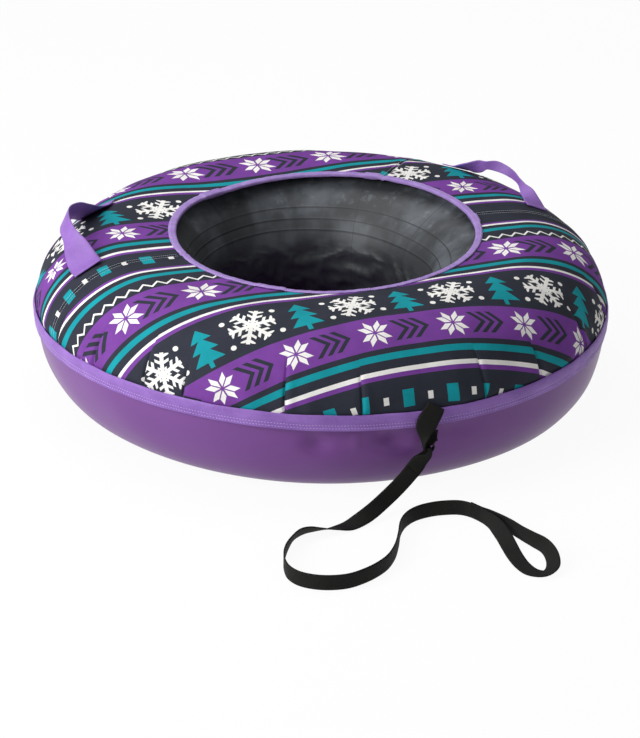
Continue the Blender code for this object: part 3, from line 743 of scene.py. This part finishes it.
def tube_shape(azimuth, radius, level):
    """The tube's points with mould lines on its inner wall and folds below its waist."""
    inside = radius < CROWN_RADIUS
    push = np.zeros_like(radius)
    for line_level in MOULD_LINES:
        push = push - 0.8 * MM * bell(level - line_level, 1.3 * MM)
    below_waist = ramp(level, 0.165, 0.125) * ramp(level, 0, 0.02)
    spots = ring_places(azimuth, 5.0, 26 * level) + np.outer(level, (9, 5, 0))
    folds = np.array([noise.ridged_multi_fractal(spot, 1.0, 2.1, 3, 1.0, 2.0) for spot in spots])
    push = push + below_waist * 6.0 * MM * (0.9 - folds)
    push = push + 0.8 * MM * np.sin(7 * azimuth + 11 * level) * np.sin(40 * level)
    wall = ramp(level, 0.245, 0.195) * ramp(level, 0, 0.05)
    push = push + round_the_ring(WALL_SPREAD, azimuth) * wall
    outward = ramp(radius, CROWN_RADIUS, CROWN_RADIUS + 0.05)
    sides = 1.3 * round_the_ring(FULLNESS, azimuth) * outward
    foot = round_the_ring(FOOT_SPREAD, azimuth) * ramp(level, RIM_HEIGHT, 0) * outward
    level = level + np.where(inside | (level < RIM_HEIGHT), 0, sides * 0.7)
    radius = np.where(inside, radius + push, radius + np.minimum(sides, 0) + np.minimum(foot, 0))
    return ring_places(azimuth, radius, level)


tube_mesh = spun(tube_line, 384, closed=True)
tube = new_piece("rubber_tube", tube_mesh, "tube", ("inner_tube",))
move_turned(tube.data, tube_shape)

# %% [markdown]
# ## The tab on the rim
# A short length of the same webbing is folded over the rim and sewn in, and hangs as a loop that
# holds the leash's eye. It narrows to its fold where the two loops pull on each other.

# %% The tab, each row as in the leash's eye, with the place as millimetres from the rim
TAB_OUTER = [
    (13, -3, 18, (0.86, -0.25, -0.44), 1.16),
    (8.5, -6.2, 11.5, (0.86, -0.25, -0.44), 1.24),
    (2.2, -8.6, 4, (0.87, -0.25, -0.42), 1.30),
    (-4, -10, -6, (0.92, -0.22, -0.33), 1.34),
    (-7.8, -10.6, -16, (0.92, -0.28, -0.28), 1.16),
    (-9.4, -11.6, -27, (0.84, -0.48, -0.16), 0.70),
    (-10.8, -12.8, -37, (0.36, -0.92, -0.05), 0.42),
]
TAB_REAR = [
    (1.4, -11.8, -41.8, (0.80, -0.60, 0.10), 0.94),
    (0.2, -8.2, -33.5, (0.93, -0.32, 0.10), 0.98),
    (1.8, -5, -25.5, (1.00, 0.00, 0.00), 1.06),
    (4.6, -2.6, -19.5, (1.00, 0.00, 0.00), 1.04),
]
TAB_TURN = 8.5 * MM
rim_front = Vector((0, -RIM_RADIUS, RIM_HEIGHT))
turn_rows = []
for angle in np.radians(np.linspace(180, 360, 7)):
    offset = Vector((math.cos(angle), 0, math.sin(angle))) * TAB_TURN
    turn_rows.append((HITCH + offset, Vector((0, -1, 0)), NECK_WIDTH))
tab_rows = hung_rows(TAB_OUTER, rim_front) + turn_rows + hung_rows(TAB_REAR, rim_front)
tab_mesh = strap_mesh(smooth_rows(tab_rows, 5))
tab = new_piece("tab_strap", tab_mesh, "tube", ("leash_tab",))
thicken(tab, WEBBING_THICKNESS, 0.0)

# %% [markdown]
# ## The handles
# Each handle is one length of broad webbing, sewn down flat at both ends and arched between
# them. It bends where it leaves the cloth. The right grip is folded narrow and makes half a turn
# between its feet, as a strap does that was pulled and let go.

# %% The handles' rows: degrees along, mm outward, mm up, degrees of lean and mm wide
LEFT_HANDLE = [
    (-21.0, -5, 2.0, 60, 50), (-17.5, -4, 2.5, 60, 50), (-13.5, 0, 7.0, 52, 45),
    (-9.0, 4, 21.0, 40, 37), (-4.5, 13, 36.0, 28, 35), (0.0, 25, 42.5, 24, 34),
    (4.0, 27, 39.0, 28, 32), (7.5, 21, 29.0, 34, 32), (11.0, 14, 17.0, 54, 44),
    (15.0, 8, 3.0, 63, 52), (18.8, 6, 2.0, 63, 52),
]
RIGHT_HANDLE = [
    (-18.8, -6, 5.0, 67, 38), (-15.8, -3, 4.0, 67, 38), (-12.6, 3, 4.5, 84, 28),
    (-9.8, 6, 8.5, 108, 23), (-7.2, 9, 11.0, 132, 14), (-5.0, 12, 14.5, 172, 12),
    (-2.5, 13.5, 19.5, 172, 14), (0.0, 9.5, 25.0, 160, 16), (2.5, 3, 28.0, 168, 18),
    (4.6, -5.5, 26.5, 180, 15), (6.2, -9, 22.5, 182, 22), (8.0, -13, 18.0, 206, 26),
    (10.0, -15, 14.0, 224, 28), (12.2, -12, 8.5, 242, 36), (14.5, -6, 4.8, 245, 40),
    (16.8, -3, 3.6, 245, 40),
]
HANDLE_RADIUS = 0.400
HANDLE_SEAT = float(np.interp(HANDLE_RADIUS, cover_line[:, 0], cover_along))


def handle_rows(centre, table):
    """Rows of a handle round its middle's azimuth, from its table."""
    rows = []
    for offset, out, rise, lean, width in table:
        azimuth = math.radians(centre + offset)
        lean = math.radians(lean)
        outward = Vector((math.cos(azimuth), math.sin(azimuth), 0))
        lift = (outward * out + UP * rise) * MM
        across = outward * math.sin(lean) - UP * math.cos(lean)
        rows.append((Vector(on_cover(azimuth, HANDLE_SEAT)) + lift, across, width * MM))
    return smooth_rows(rows, 6)


# %% The handles
def handle(side, centre, table):
    """One handle: a thickened strap laid along its rows, in place of its solids."""
    piece = new_piece(
        f"{side}_handle_strap", strap_mesh(handle_rows(centre, table), 12), None,
        (f"handle_{side}", f"handle_{side}_first_end", f"handle_{side}_second_end"),
    )
    thicken(piece, WEBBING_THICKNESS, 0.0)
    azimuth = math.radians(centre)
    foot = Vector(on_cover(azimuth, HANDLE_SEAT))
    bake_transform(piece)
    return piece


left_handle = handle("left", 161.5, LEFT_HANDLE)
right_handle = handle("right", 18.5, RIGHT_HANDLE)

# %% [markdown]
# ## Stitches
# Rows of stitches tell the eye how the thing was put together. A bump map could hint at them,
# but real beads of thread catch the light, and each has only twenty faces, so two thousand of them
# weigh little. They are drawn a little thicker than thread, so that they show at this distance.

# %% Rows of stitches
DROP = 20 * MM


def sew(bm, places, normals, on, pitch=5.0 * MM, **size):
    """Lays stitches along a line of places, one for each pitch, each let down onto the cloth."""
    lengths = lengths_along(places)

    def at(middle, rows):
        return Vector([np.interp(middle, lengths, column) for column in rows.T])

    for middle in np.arange(pitch / 2, lengths[-1], pitch):
        back, ahead = (at(middle + step, places) for step in (-0.5 * MM, 0.5 * MM))
        face = at(middle, normals).normalized()
        start = (back + ahead) / 2 + face * DROP
        landing = on.ray_cast(start, -face, 2 * DROP)[0]
        if landing is None:
            continue
        run = (ahead - back).normalized()
        face = (face - run * face.dot(run)).normalized()
        stitch(bm, landing + face * 0.1 * MM, run, face, **size)


def surface(*pieces):
    """The outer surfaces of finished pieces, for letting stitches down onto."""
    depsgraph = bpy.context.evaluated_depsgraph_get()
    joined = bmesh.new()
    for piece in pieces:
        joined.from_mesh(piece.evaluated_get(depsgraph).data)
    tree = BVHTree.FromBMesh(joined)
    joined.free()
    return tree


def cover_row(azimuths, alongs):
    """Places and outward directions along a row on the cover."""
    low = on_cover(azimuths, alongs)
    return low, on_cover(azimuths, alongs, 1.0 * MM) - low


SEAM_HALF = 3.8 * MM
HOLE_ROW = 6.8 * MM
RIM_ROWS = [(3.15, -7.9), (2.85, -13.2)]
cloth_surface = surface(*panels)
bm = bmesh.new()
for seam in SEAMS:
    for side in (-SEAM_HALF, SEAM_HALF):
        alongs = np.linspace(13 * MM, COVER_LENGTH - 4 * MM, 90)
        row = cover_row(seam + side / cover_at(alongs, cover_line)[0], alongs)
        sew(bm, *row, cloth_surface, pitch=3.6 * MM, length=3.4 * MM, width=0.8 * MM, height=0.5 * MM)
seam_stitches = new_piece("seam_stitches", bm, "tube")

bm = bmesh.new()
ring = np.linspace(0, math.tau, 900)
row = cover_row(ring, np.full_like(ring, HOLE_ROW))
sew(bm, *row, surface(hole_tape), pitch=4.0 * MM, length=2.8 * MM)
hole_stitches = new_piece("hole_stitches", bm, "tube")

bm = bmesh.new()
tape_surface = surface(rim_tape)
for across, height in RIM_ROWS:
    sew(bm, on_rim(ring, across * MM, height * MM), ring_places(ring, 1, 0 * ring), tape_surface)
rim_stitches = new_piece("rim_stitches", bm, "tube")

# %% [markdown]
# ## Finishes
# Colours are written as they look on a screen and turned to the linear values that light needs.
# One small function adds a node with its settings and links, and every finish is built with it.
# Each finish gets its own copy, bound to its own node tree, under the short name add.

# %% Colour and nodes
def linear(code):
    """A colour written as a web hex value, as linear red, green, blue and alpha."""
    parts = [int(code[i : i + 2], 16) / 255 for i in (1, 3, 5)]
    return tuple(c / 12.92 if c <= 0.04045 else ((c + 0.055) / 1.055) ** 2.4 for c in parts) + (1.0,)


def add_node(tree, kind, *sources, out=0, **settings):
    """Adds a node, sets it up, fills or links its sockets, and gives back one of its outputs.

    A kind in capitals is what a Math node does. A setting with a capital names a socket.
    """
    if kind.isupper():
        kind, settings["operation"] = "Math", kind
    node = tree.nodes.new("ShaderNode" + kind)
    if kind == "Mix":
        node.data_type = "RGBA"
    for name, value in settings.items():
        if name[0].islower():
            setattr(node, name, value)
    filled = list(zip([socket for socket in node.inputs if socket.enabled], sources))
    filled += [(node.inputs[name], value) for name, value in settings.items() if name[0].isupper()]
    for socket, source in filled:
        if isinstance(source, bpy.types.NodeSocket):
            tree.links.new(source, socket)
        else:
            socket.default_value = source
    return [socket for socket in node.outputs if socket.enabled][out]


def wire(node, **sources):
    """Links outputs to the sockets of a shader or an output node."""
    for name, source in sources.items():
        node.id_data.links.new(source, node.inputs[name.replace("_", " ")])


def finish(name, colour, roughness, **sockets):
    """A new material with its shader, plain values set, and a function that adds its nodes."""
    material = bpy.data.materials.new(name)
    material.use_nodes = True
    tree = material.node_tree
    shader = tree.nodes["Principled BSDF"]
    sockets.update(Base_Color=linear(colour), Roughness=roughness)
    for name, value in sockets.items():
        shader.inputs[name.replace("_", " ")].default_value = value
    return material, partial(add_node, tree), shader


def dress(material, *pieces):
    """Gives each piece one material and no other."""
    for piece in pieces:
        piece.data.materials.clear()
        piece.data.materials.append(material)


# %% [markdown]
# ### Printed polyester
# The cover is plain-woven polyester with a dyed print in charcoal, purple, teal and off-white:
# broad bands of figures between narrow stripes, as on a knitted winter jumper. The bands are read
# from the flat cloth, in millimetres. A ramp without blending paints the stripes, and each figure
# is a few folds and comparisons. The figures here are old knitting ones: stars, firs,
# snowflakes, arrowheads, squares and a zigzag.

# %% The stripes of the print
CHARCOAL, PURPLE, TEAL, WHITE = "#2D303B", "#743E95", "#0E929D", "#EEECE8"
STRIPES = [
    (70, CHARCOAL), (8, PURPLE), (8, WHITE), (14, CHARCOAL), (12, TEAL), (10, CHARCOAL), (64, PURPLE),
    (102, CHARCOAL), (7, PURPLE), (7, WHITE), (13, CHARCOAL), (12, TEAL), (9, CHARCOAL), (80, PURPLE),
    (39, CHARCOAL), (12, TEAL), (11, CHARCOAL), (6, WHITE), (6, PURPLE),
]
FIRST_STRIPE = -62.0
REPEAT = sum(width for width, _ in STRIPES)
print("the print repeats every", REPEAT, "mm")


def stripe_ramp(ramp):
    """Fills a colour ramp with the stripes, hard-edged."""
    ramp.interpolation = "CONSTANT"
    place = 0
    for index, (width, colour) in enumerate(STRIPES):
        stop = ramp.elements[0] if index == 0 else ramp.elements.new(place / REPEAT)
        stop.color = linear(colour)
        place += width
    ramp.elements.remove(ramp.elements[-1])


# %% Figures of the print, each 1 inside and 0 outside
def star(add, x, y, petal=11.0, gap=1.2):
    """Eight slanted petals round a point, folded from one."""
    x = add("ABSOLUTE", x)
    y = add("ABSOLUTE", y)
    low = add("MINIMUM", x, y)
    high = add("MAXIMUM", x, y)
    lean = add("SUBTRACT", high, low)
    inside = add("COMPARE", low, (petal + gap) / 2, (petal - gap) / 2)
    beside = add("COMPARE", lean, (petal + gap) / 2, (petal - gap) / 2)
    return add("MULTIPLY", inside, beside)


def fir(add, x, y, height=40.0, tier=13.4):
    """A fir in tiers: its half width grows down each tier and starts again."""
    down = add("SUBTRACT", height / 2, y)
    saw = add("FLOORED_MODULO", down, tier)
    spread = add("MULTIPLY", saw, 0.62)
    half = add("MULTIPLY_ADD", down, 0.17, spread)
    side = add("ABSOLUTE", x)
    crown = add("LESS_THAN", side, half)
    tall = add("COMPARE", down, height / 2, height / 2)
    crown = add("MULTIPLY", crown, tall)
    stem = add("LESS_THAN", side, 2.2)
    foot = add("COMPARE", down, height + 3, 3.5)
    stem = add("MULTIPLY", stem, foot)
    return add("MAXIMUM", crown, stem)


HALF_ROOT_3, ROOT_3, PART_ROOT_3 = 0.866, 1.732, 0.577


def snowflake(add, x, y, reach=24.0):
    """Six arms with two pairs of twigs, folded into one arm."""
    x = add("ABSOLUTE", x)
    y = add("ABSOLUTE", y)
    half_x = add("MULTIPLY", x, -0.5)
    over = add("MULTIPLY_ADD", y, HALF_ROOT_3, half_x)
    over = add("MAXIMUM", over, 0.0)
    out = add("ADD", x, over)
    side = add("MULTIPLY_ADD", over, -ROOT_3, y)
    side = add("ABSOLUTE", side)
    arm = add("LESS_THAN", side, 2.1)
    twig = add("MULTIPLY_ADD", side, -PART_ROOT_3, out)
    twig = add("FLOORED_MODULO", twig, 7.5)
    twig = add("COMPARE", twig, 4.0, 1.7)
    near = add("LESS_THAN", side, 7.5)
    far = add("COMPARE", out, 14.0, 9.0)
    twig = add("MULTIPLY", twig, near)
    twig = add("MULTIPLY", twig, far)
    shape = add("MAXIMUM", arm, twig)
    within = add("LESS_THAN", out, reach)
    return add("MULTIPLY", shape, within)


def arrowhead(add, x, y):
    """Three nested arrowheads that point along the band."""
    side = add("ABSOLUTE", y)
    slant = add("ADD", x, side)
    bars = add("FLOORED_MODULO", slant, 15.0)
    bars = add("COMPARE", bars, 4.0, 4.0)
    tall = add("LESS_THAN", side, 19.0)
    wide = add("COMPARE", slant, 4.0, 22.0)
    bars = add("MULTIPLY", bars, tall)
    return add("MULTIPLY", bars, wide)


def dot(add, x, y):
    """A round fleck of snow."""
    wide = add("MULTIPLY", x, x)
    tall = add("MULTIPLY", y, y)
    spread = add("ADD", wide, tall)
    return add("LESS_THAN", spread, 22.0)


def tile(add, x, y):
    """An upright block."""
    wide = add("COMPARE", x, 0.0, 4.2)
    tall = add("COMPARE", y, 0.0, 6.5)
    return add("MULTIPLY", wide, tall)


# %% The printed cloth
def centred(add, value, period, start):
    """A place within a repeat, measured from the repeat's middle."""
    moved = add("SUBTRACT", value, start)
    wrapped = add("FLOORED_MODULO", moved, period)
    return add("SUBTRACT", wrapped, period / 2)


printed, add, shader = finish(
    "plain-woven polyester with a dyed print", WHITE, 0.75, Specular_IOR_Level=0.15
)
cloth_map = add("UVMap", uv_map="Print")
millimetres = add("VectorMath", cloth_map, Scale=1000.0, operation="SCALE")
along = add("SeparateXYZ", millimetres)
across = along.node.outputs[1]
moved = add("SUBTRACT", across, FIRST_STRIPE)
band = add("FLOORED_MODULO", moved, REPEAT)
share = add("DIVIDE", band, REPEAT)
colour = add("ValToRGB", share)
stripe_ramp(colour.node.color_ramp)

# Each figure, the middle of its band, its repeat, where it starts, its size and its ink.
FIGURES = [
    (snowflake, 237.0, 168.0, 20.0, 1.6, WHITE), (fir, 239.0, 168.0, 104.0, 1.75, TEAL),
    (dot, 262.0, 84.0, 20.0, 1.0, WHITE), (dot, 208.0, 84.0, 20.0, 1.0, WHITE),
    (star, 154.0, 132.0, 10.0, 1.15, WHITE), (arrowhead, 154.0, 132.0, 76.0, 1.1, CHARCOAL),
    (star, 376.0, 132.0, 60.0, 1.35, WHITE), (arrowhead, 376.0, 132.0, 126.0, 1.3, CHARCOAL),
    (tile, 35.0, 72.0, 8.0, 2.2, TEAL), (tile, 35.0, 72.0, 44.0, 1.0, WHITE),
]
before_end = add("LESS_THAN", along, 200.0)
for shape, level, period, start, size, ink in FIGURES:
    x = add("MULTIPLY", centred(add, along, period, start), 1 / size)
    y = add("SUBTRACT", band, level)
    y = add("MULTIPLY", y, 1 / size)
    mask = shape(add, x, y)
    if shape is tile:
        mask = add("MULTIPLY", mask, before_end)
    colour = add("Mix", mask, colour, linear(ink))

# %% The zigzag
tooth = add("PINGPONG", along, 12.0)
ridge = add("MULTIPLY_ADD", tooth, 1.1, 424.0)
zigzag = add("COMPARE", band, ridge, 2.8)
colour = add("Mix", zigzag, colour, linear(WHITE))

# %% [markdown]
# The weave's threads are about half a millimetre apart, finer than the picture can show, so they
# are drawn 2.8 mm apart. Broad, faint clouds stand for cloth that creases and fades unevenly.

# %% The cloth's weave and creases
WEAVE_SCALE = 112.0
clouds = add("TexNoise", cloth_map, Scale=22.0, Detail=3.0)
worn = add("MapRange", clouds, 0.3, 0.7, 0.86, 1.08)
colour = add("Mix", 1.0, colour, worn, blend_type="MULTIPLY")
warp, weft = (
    add("TexWave", cloth_map, Scale=WEAVE_SCALE, Distortion=0.4, bands_direction=way)
    for way in "XY"
)
weave = add("MULTIPLY", warp, weft)
crease = add("TexNoise", cloth_map, Scale=60.0, Detail=4.0, Distortion=1.2)
weave_bump = add("Bump", Strength=0.25, Distance=0.4 * MM, Height=weave)
bump = add("Bump", Strength=0.3, Distance=1.2 * MM, Height=crease, Normal=weave_bump)
wire(shader, Base_Color=colour, Normal=bump)
dress(printed, *panels)

# %% [markdown]
# ### Tapes and webbing
# Tape and webbing are woven too, but with a rib across them. The rib and the selvedge are what
# the eye reads. The purple ones are dyed a soft violet and catch the light along their threads.
# The two tapes are one tape in two copies: painted lighter round the hole, as lit, and darker at
# the rim, as shaded.

# %% Woven straps
def ribbed(name, colour, dark, roughness, rib, strength=0.5, **sockets):
    """A woven strap's finish, with its ribs a real distance apart along the strap.

    A wave texture of scale 1 repeats every pi / 10 metres.
    """
    material, add, shader = finish(name, colour, roughness, **sockets)
    strap_map = add("UVMap", uv_map="Cloth")
    scale = math.pi / 10 / rib
    ribs = add("TexWave", strap_map, Scale=scale, Distortion=0.6, bands_direction="X")
    grain = add("TexNoise", strap_map, Scale=300.0, Detail=3.0)
    patches = add("TexNoise", strap_map, Scale=26.0, Detail=2.0)
    mottle = add("MULTIPLY_ADD", grain, 0.45, patches)
    shade = add("MapRange", mottle, 0.45, 1.0, 0.0, 1.0)
    tone = add("Mix", shade, linear(dark), linear(colour))
    height = add("MULTIPLY_ADD", ribs, 0.5, grain)
    bump = add("Bump", Strength=strength, Distance=0.4 * MM, Height=height)
    wire(shader, Base_Color=tone, Normal=bump)
    return material


# Painted light and shade: the hole's tape is painted lighter, as lit, and the rim's darker, as shaded.
hole_tape_painted_lit = ribbed(
    "lit woven polyester tape", "#A98ECD", "#9072B6", 0.6, 1.6 * MM, Specular_IOR_Level=0.3
)
rim_tape_painted_shaded = ribbed(
    "woven polyester rim tape", "#9770C0", "#7C55A4", 0.5, 1.6 * MM, Specular_IOR_Level=0.3
)
violet_webbing = ribbed("violet polypropylene webbing", "#936ABD", "#7E55A6", 0.5, 2.0 * MM)
black_webbing = ribbed(
    "black polypropylene webbing", "#161613", "#0B0B0B", 0.8, 2.0 * MM, 0.7, Specular_IOR_Level=0.25
)
dress(hole_tape_painted_lit, hole_tape)
dress(rim_tape_painted_shaded, rim_tape)
dress(violet_webbing, left_handle, right_handle)
dress(black_webbing, leash, tab, loop_tack)

# %% Thread
lilac_thread = finish("lilac polyester thread", "#C9B4E2", 0.45)[0]
grey_thread = finish("grey polyester thread", "#C6C9CE", 0.5)[0]
dress(lilac_thread, rim_stitches, hole_stitches)
dress(grey_thread, seam_stitches)

# %% [markdown]
# ### Coated cloth
# The pan is cloth with a smooth vinyl coat, so light slides over it in long soft patches. Under
# the coat the weave still shows as a faint grain, and its colour is a little uneven.

# %% The coated pan
coated, add, shader = finish(
    "vinyl-coated cloth", "#75498A", 0.36, Specular_IOR_Level=0.2, Coat_Weight=0.05, Coat_Roughness=0.3
)
place = add("TexCoord", out=3)
clouds = add("TexNoise", place, Scale=7.0, Detail=3.0)
tone = add("Mix", clouds, linear("#6D4182"), linear("#7A4C92"))
grain = add("TexNoise", place, Scale=420.0, Detail=2.0)
bump = add("Bump", Strength=0.12, Distance=0.3 * MM, Height=grain)
wire(shader, Base_Color=tone, Normal=bump)
dress(coated, pan)

# %% [markdown]
# ### Butyl rubber
# The tube is black rubber dusted with talc from its mould. Handling wipes the talc off in
# smears, so the wall is charcoal with soft grey patches and, near the top, chalky streaks that
# run down it. Below the waist the grey patches fade out, as painted shade deep in the hole. The
# mould's joins show as fine dark lines round the wall and across it.

# %% The rubber
rubber, add, shader = finish("butyl rubber, dusted with talc", "#2A2C30", 0.55)
place = add("TexCoord", out=3)
height = add("SeparateXYZ", place, out=2)
patches = add("TexNoise", place, Scale=9.0, Detail=3.0, Roughness=0.55)
drawn_down = add("Mapping", place, Scale=(1.0, 1.0, 0.22))
streaks = add("TexNoise", drawn_down, Scale=46.0, Detail=2.0, Roughness=0.5)
talc_and_painted_shade = add("MULTIPLY_ADD", streaks, 0.30, patches)
talc_and_painted_shade = add("MapRange", talc_and_painted_shade, 0.52, 0.86, 0.0, 1.0, interpolation_type="SMOOTHSTEP")
chalk = add("TexNoise", drawn_down, Scale=40.0, Detail=4.0, Roughness=0.7)
chalk = add("MapRange", chalk, 0.52, 0.72, 0.0, 0.30, interpolation_type="SMOOTHSTEP")
high = add("MapRange", height, 0.19, 0.23, 0.0, 1.0, interpolation_type="SMOOTHSTEP")
chalk = add("MULTIPLY", chalk, high)
# Painted shade: the talc patches fade out below the waist, so the lower wall deep in the hole is
# darker.
above = add("MapRange", height, 0.12, 0.19, 0.1, 1.0, interpolation_type="SMOOTHSTEP")
talc_and_painted_shade = add("MULTIPLY", talc_and_painted_shade, above)
tone = add("Mix", talc_and_painted_shade, linear("#2F3235"), linear("#575C62"))
tone = add("Mix", chalk, tone, linear("#8A9098"))
around = add("SeparateXYZ", place)
around = add("ARCTAN2", around.node.outputs[1], around)
MOULD_JOINS = (-95, 18, 54, 117, -160)
dark_lines = [(height, level, 0.7 * MM, 0.7, "#15161A") for level in MOULD_LINES]
dark_lines += [(around, math.radians(angle), 0.0035, 0.5, "#1B1C20") for angle in MOULD_JOINS]
for value, place_on, half_width, strength, ink in dark_lines:
    near = add("COMPARE", value, place_on, half_width)
    near = add("MULTIPLY", near, strength)
    tone = add("Mix", near, tone, linear(ink))
skin = add("TexNoise", place, Scale=90.0, Detail=4.0)
bump = add("Bump", Strength=0.2, Distance=0.6 * MM, Height=skin)
wire(shader, Base_Color=tone, Normal=bump)
dress(rubber, tube)

# %% [markdown]
# ### The valve
# The valve's parts keep their solids, because they are small turned shapes already. Brass is
# lathe-turned and a little dull, and the cap is moulded nylon.

# %% Brass and nylon
brass, add, shader = finish("turned brass", "#C9A45C", 0.3, Metallic=1.0)
place = add("TexCoord", out=3)
tarnish = add("TexNoise", place, Scale=240.0, Detail=3.0)
dull = add("MapRange", tarnish, 0.3, 0.7, 0.22, 0.42)
wire(shader, Roughness=dull)
nylon, add, shader = finish("black moulded nylon", "#1B1B1C", 0.4)
place = add("TexCoord", out=3)
skin = add("TexNoise", place, Scale=900.0, Detail=2.0)
bump = add("Bump", Strength=0.15, Distance=0.1 * MM, Height=skin)
wire(shader, Normal=bump)
VALVE_FINISHES = {
    "valve_base": rubber, "valve_cap_seal": rubber, "valve_stem": brass, "valve_core": brass,
    "valve_core_pin": brass, "valve_cap": nylon,
}
for name, material in VALVE_FINISHES.items():
    dress(material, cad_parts[name])

# %% [markdown]
# ## Floor and light
# The picture has a white ground and hardly a shadow. The floor shows white to the camera and to
# reflections, mixed with a little of its real shade, so that the tube still stands on something.

# %% The floor, a hair below the pan
below_pan = Matrix.Translation((0, 0, -0.5 * MM))
bm = bmesh.new()
bmesh.ops.create_grid(bm, x_segments=1, y_segments=1, size=8.0, matrix=below_pan)
floor = new_piece("floor", bm, None)
ground = bpy.data.materials.new("studio ground")
ground.use_nodes = True
tree = ground.node_tree
tree.nodes.clear()
add = partial(add_node, tree)
plain = add("BsdfDiffuse", linear("#F2F2F2"))
white = add("Emission", (1, 1, 1, 1), 1.0)
rays = add("LightPath").node.outputs
seen = add("MAXIMUM", rays["Is Camera Ray"], rays["Is Glossy Ray"])
seen = add("MAXIMUM", seen, rays["Is Transmission Ray"])
share = add("MULTIPLY", seen, 0.94)
mixed = add("MixShader", share, plain, white)
wire(tree.nodes.new("ShaderNodeOutputMaterial"), Surface=mixed)
dress(ground, floor)

# %% The world and the lamps
world = bpy.data.worlds.new("studio")
scene.world = world
world.use_nodes = True
tree = world.node_tree
tree.nodes.clear()
add = partial(add_node, tree)
dim = add("Background", (1, 1, 1, 1), 0.28)
white = add("Background", (1, 1, 1, 1), 1.0)
rays = add("LightPath").node.outputs
seen = add("MAXIMUM", rays["Is Camera Ray"], rays["Is Transmission Ray"])
mixed = add("MixShader", seen, dim, white)
wire(tree.nodes.new("ShaderNodeOutputWorld"), Surface=mixed)
AIM = Vector((0, 0, 0.1))


def lamp(name, place, size, watts):
    """A square soft lamp at a place, aimed at the tube."""
    light = bpy.data.lights.new(name, "AREA")
    light.size = size
    light.energy = watts
    thing = put(name, light)
    thing.location = place
    thing.rotation_euler = (AIM - Vector(place)).to_track_quat("-Z", "Y").to_euler()


lamp("left key", (-3.0, -0.6, 1.9), 1.8, 98)
lamp("top", (-0.4, 0.9, 2.8), 2.2, 42)
lamp("front fill", (0.9, -3.2, 1.6), 2.0, 2.5)
lamp("low left", (-2.6, 0.2, 0.5), 1.2, 4.5)
scene.view_settings.view_transform = "Standard"
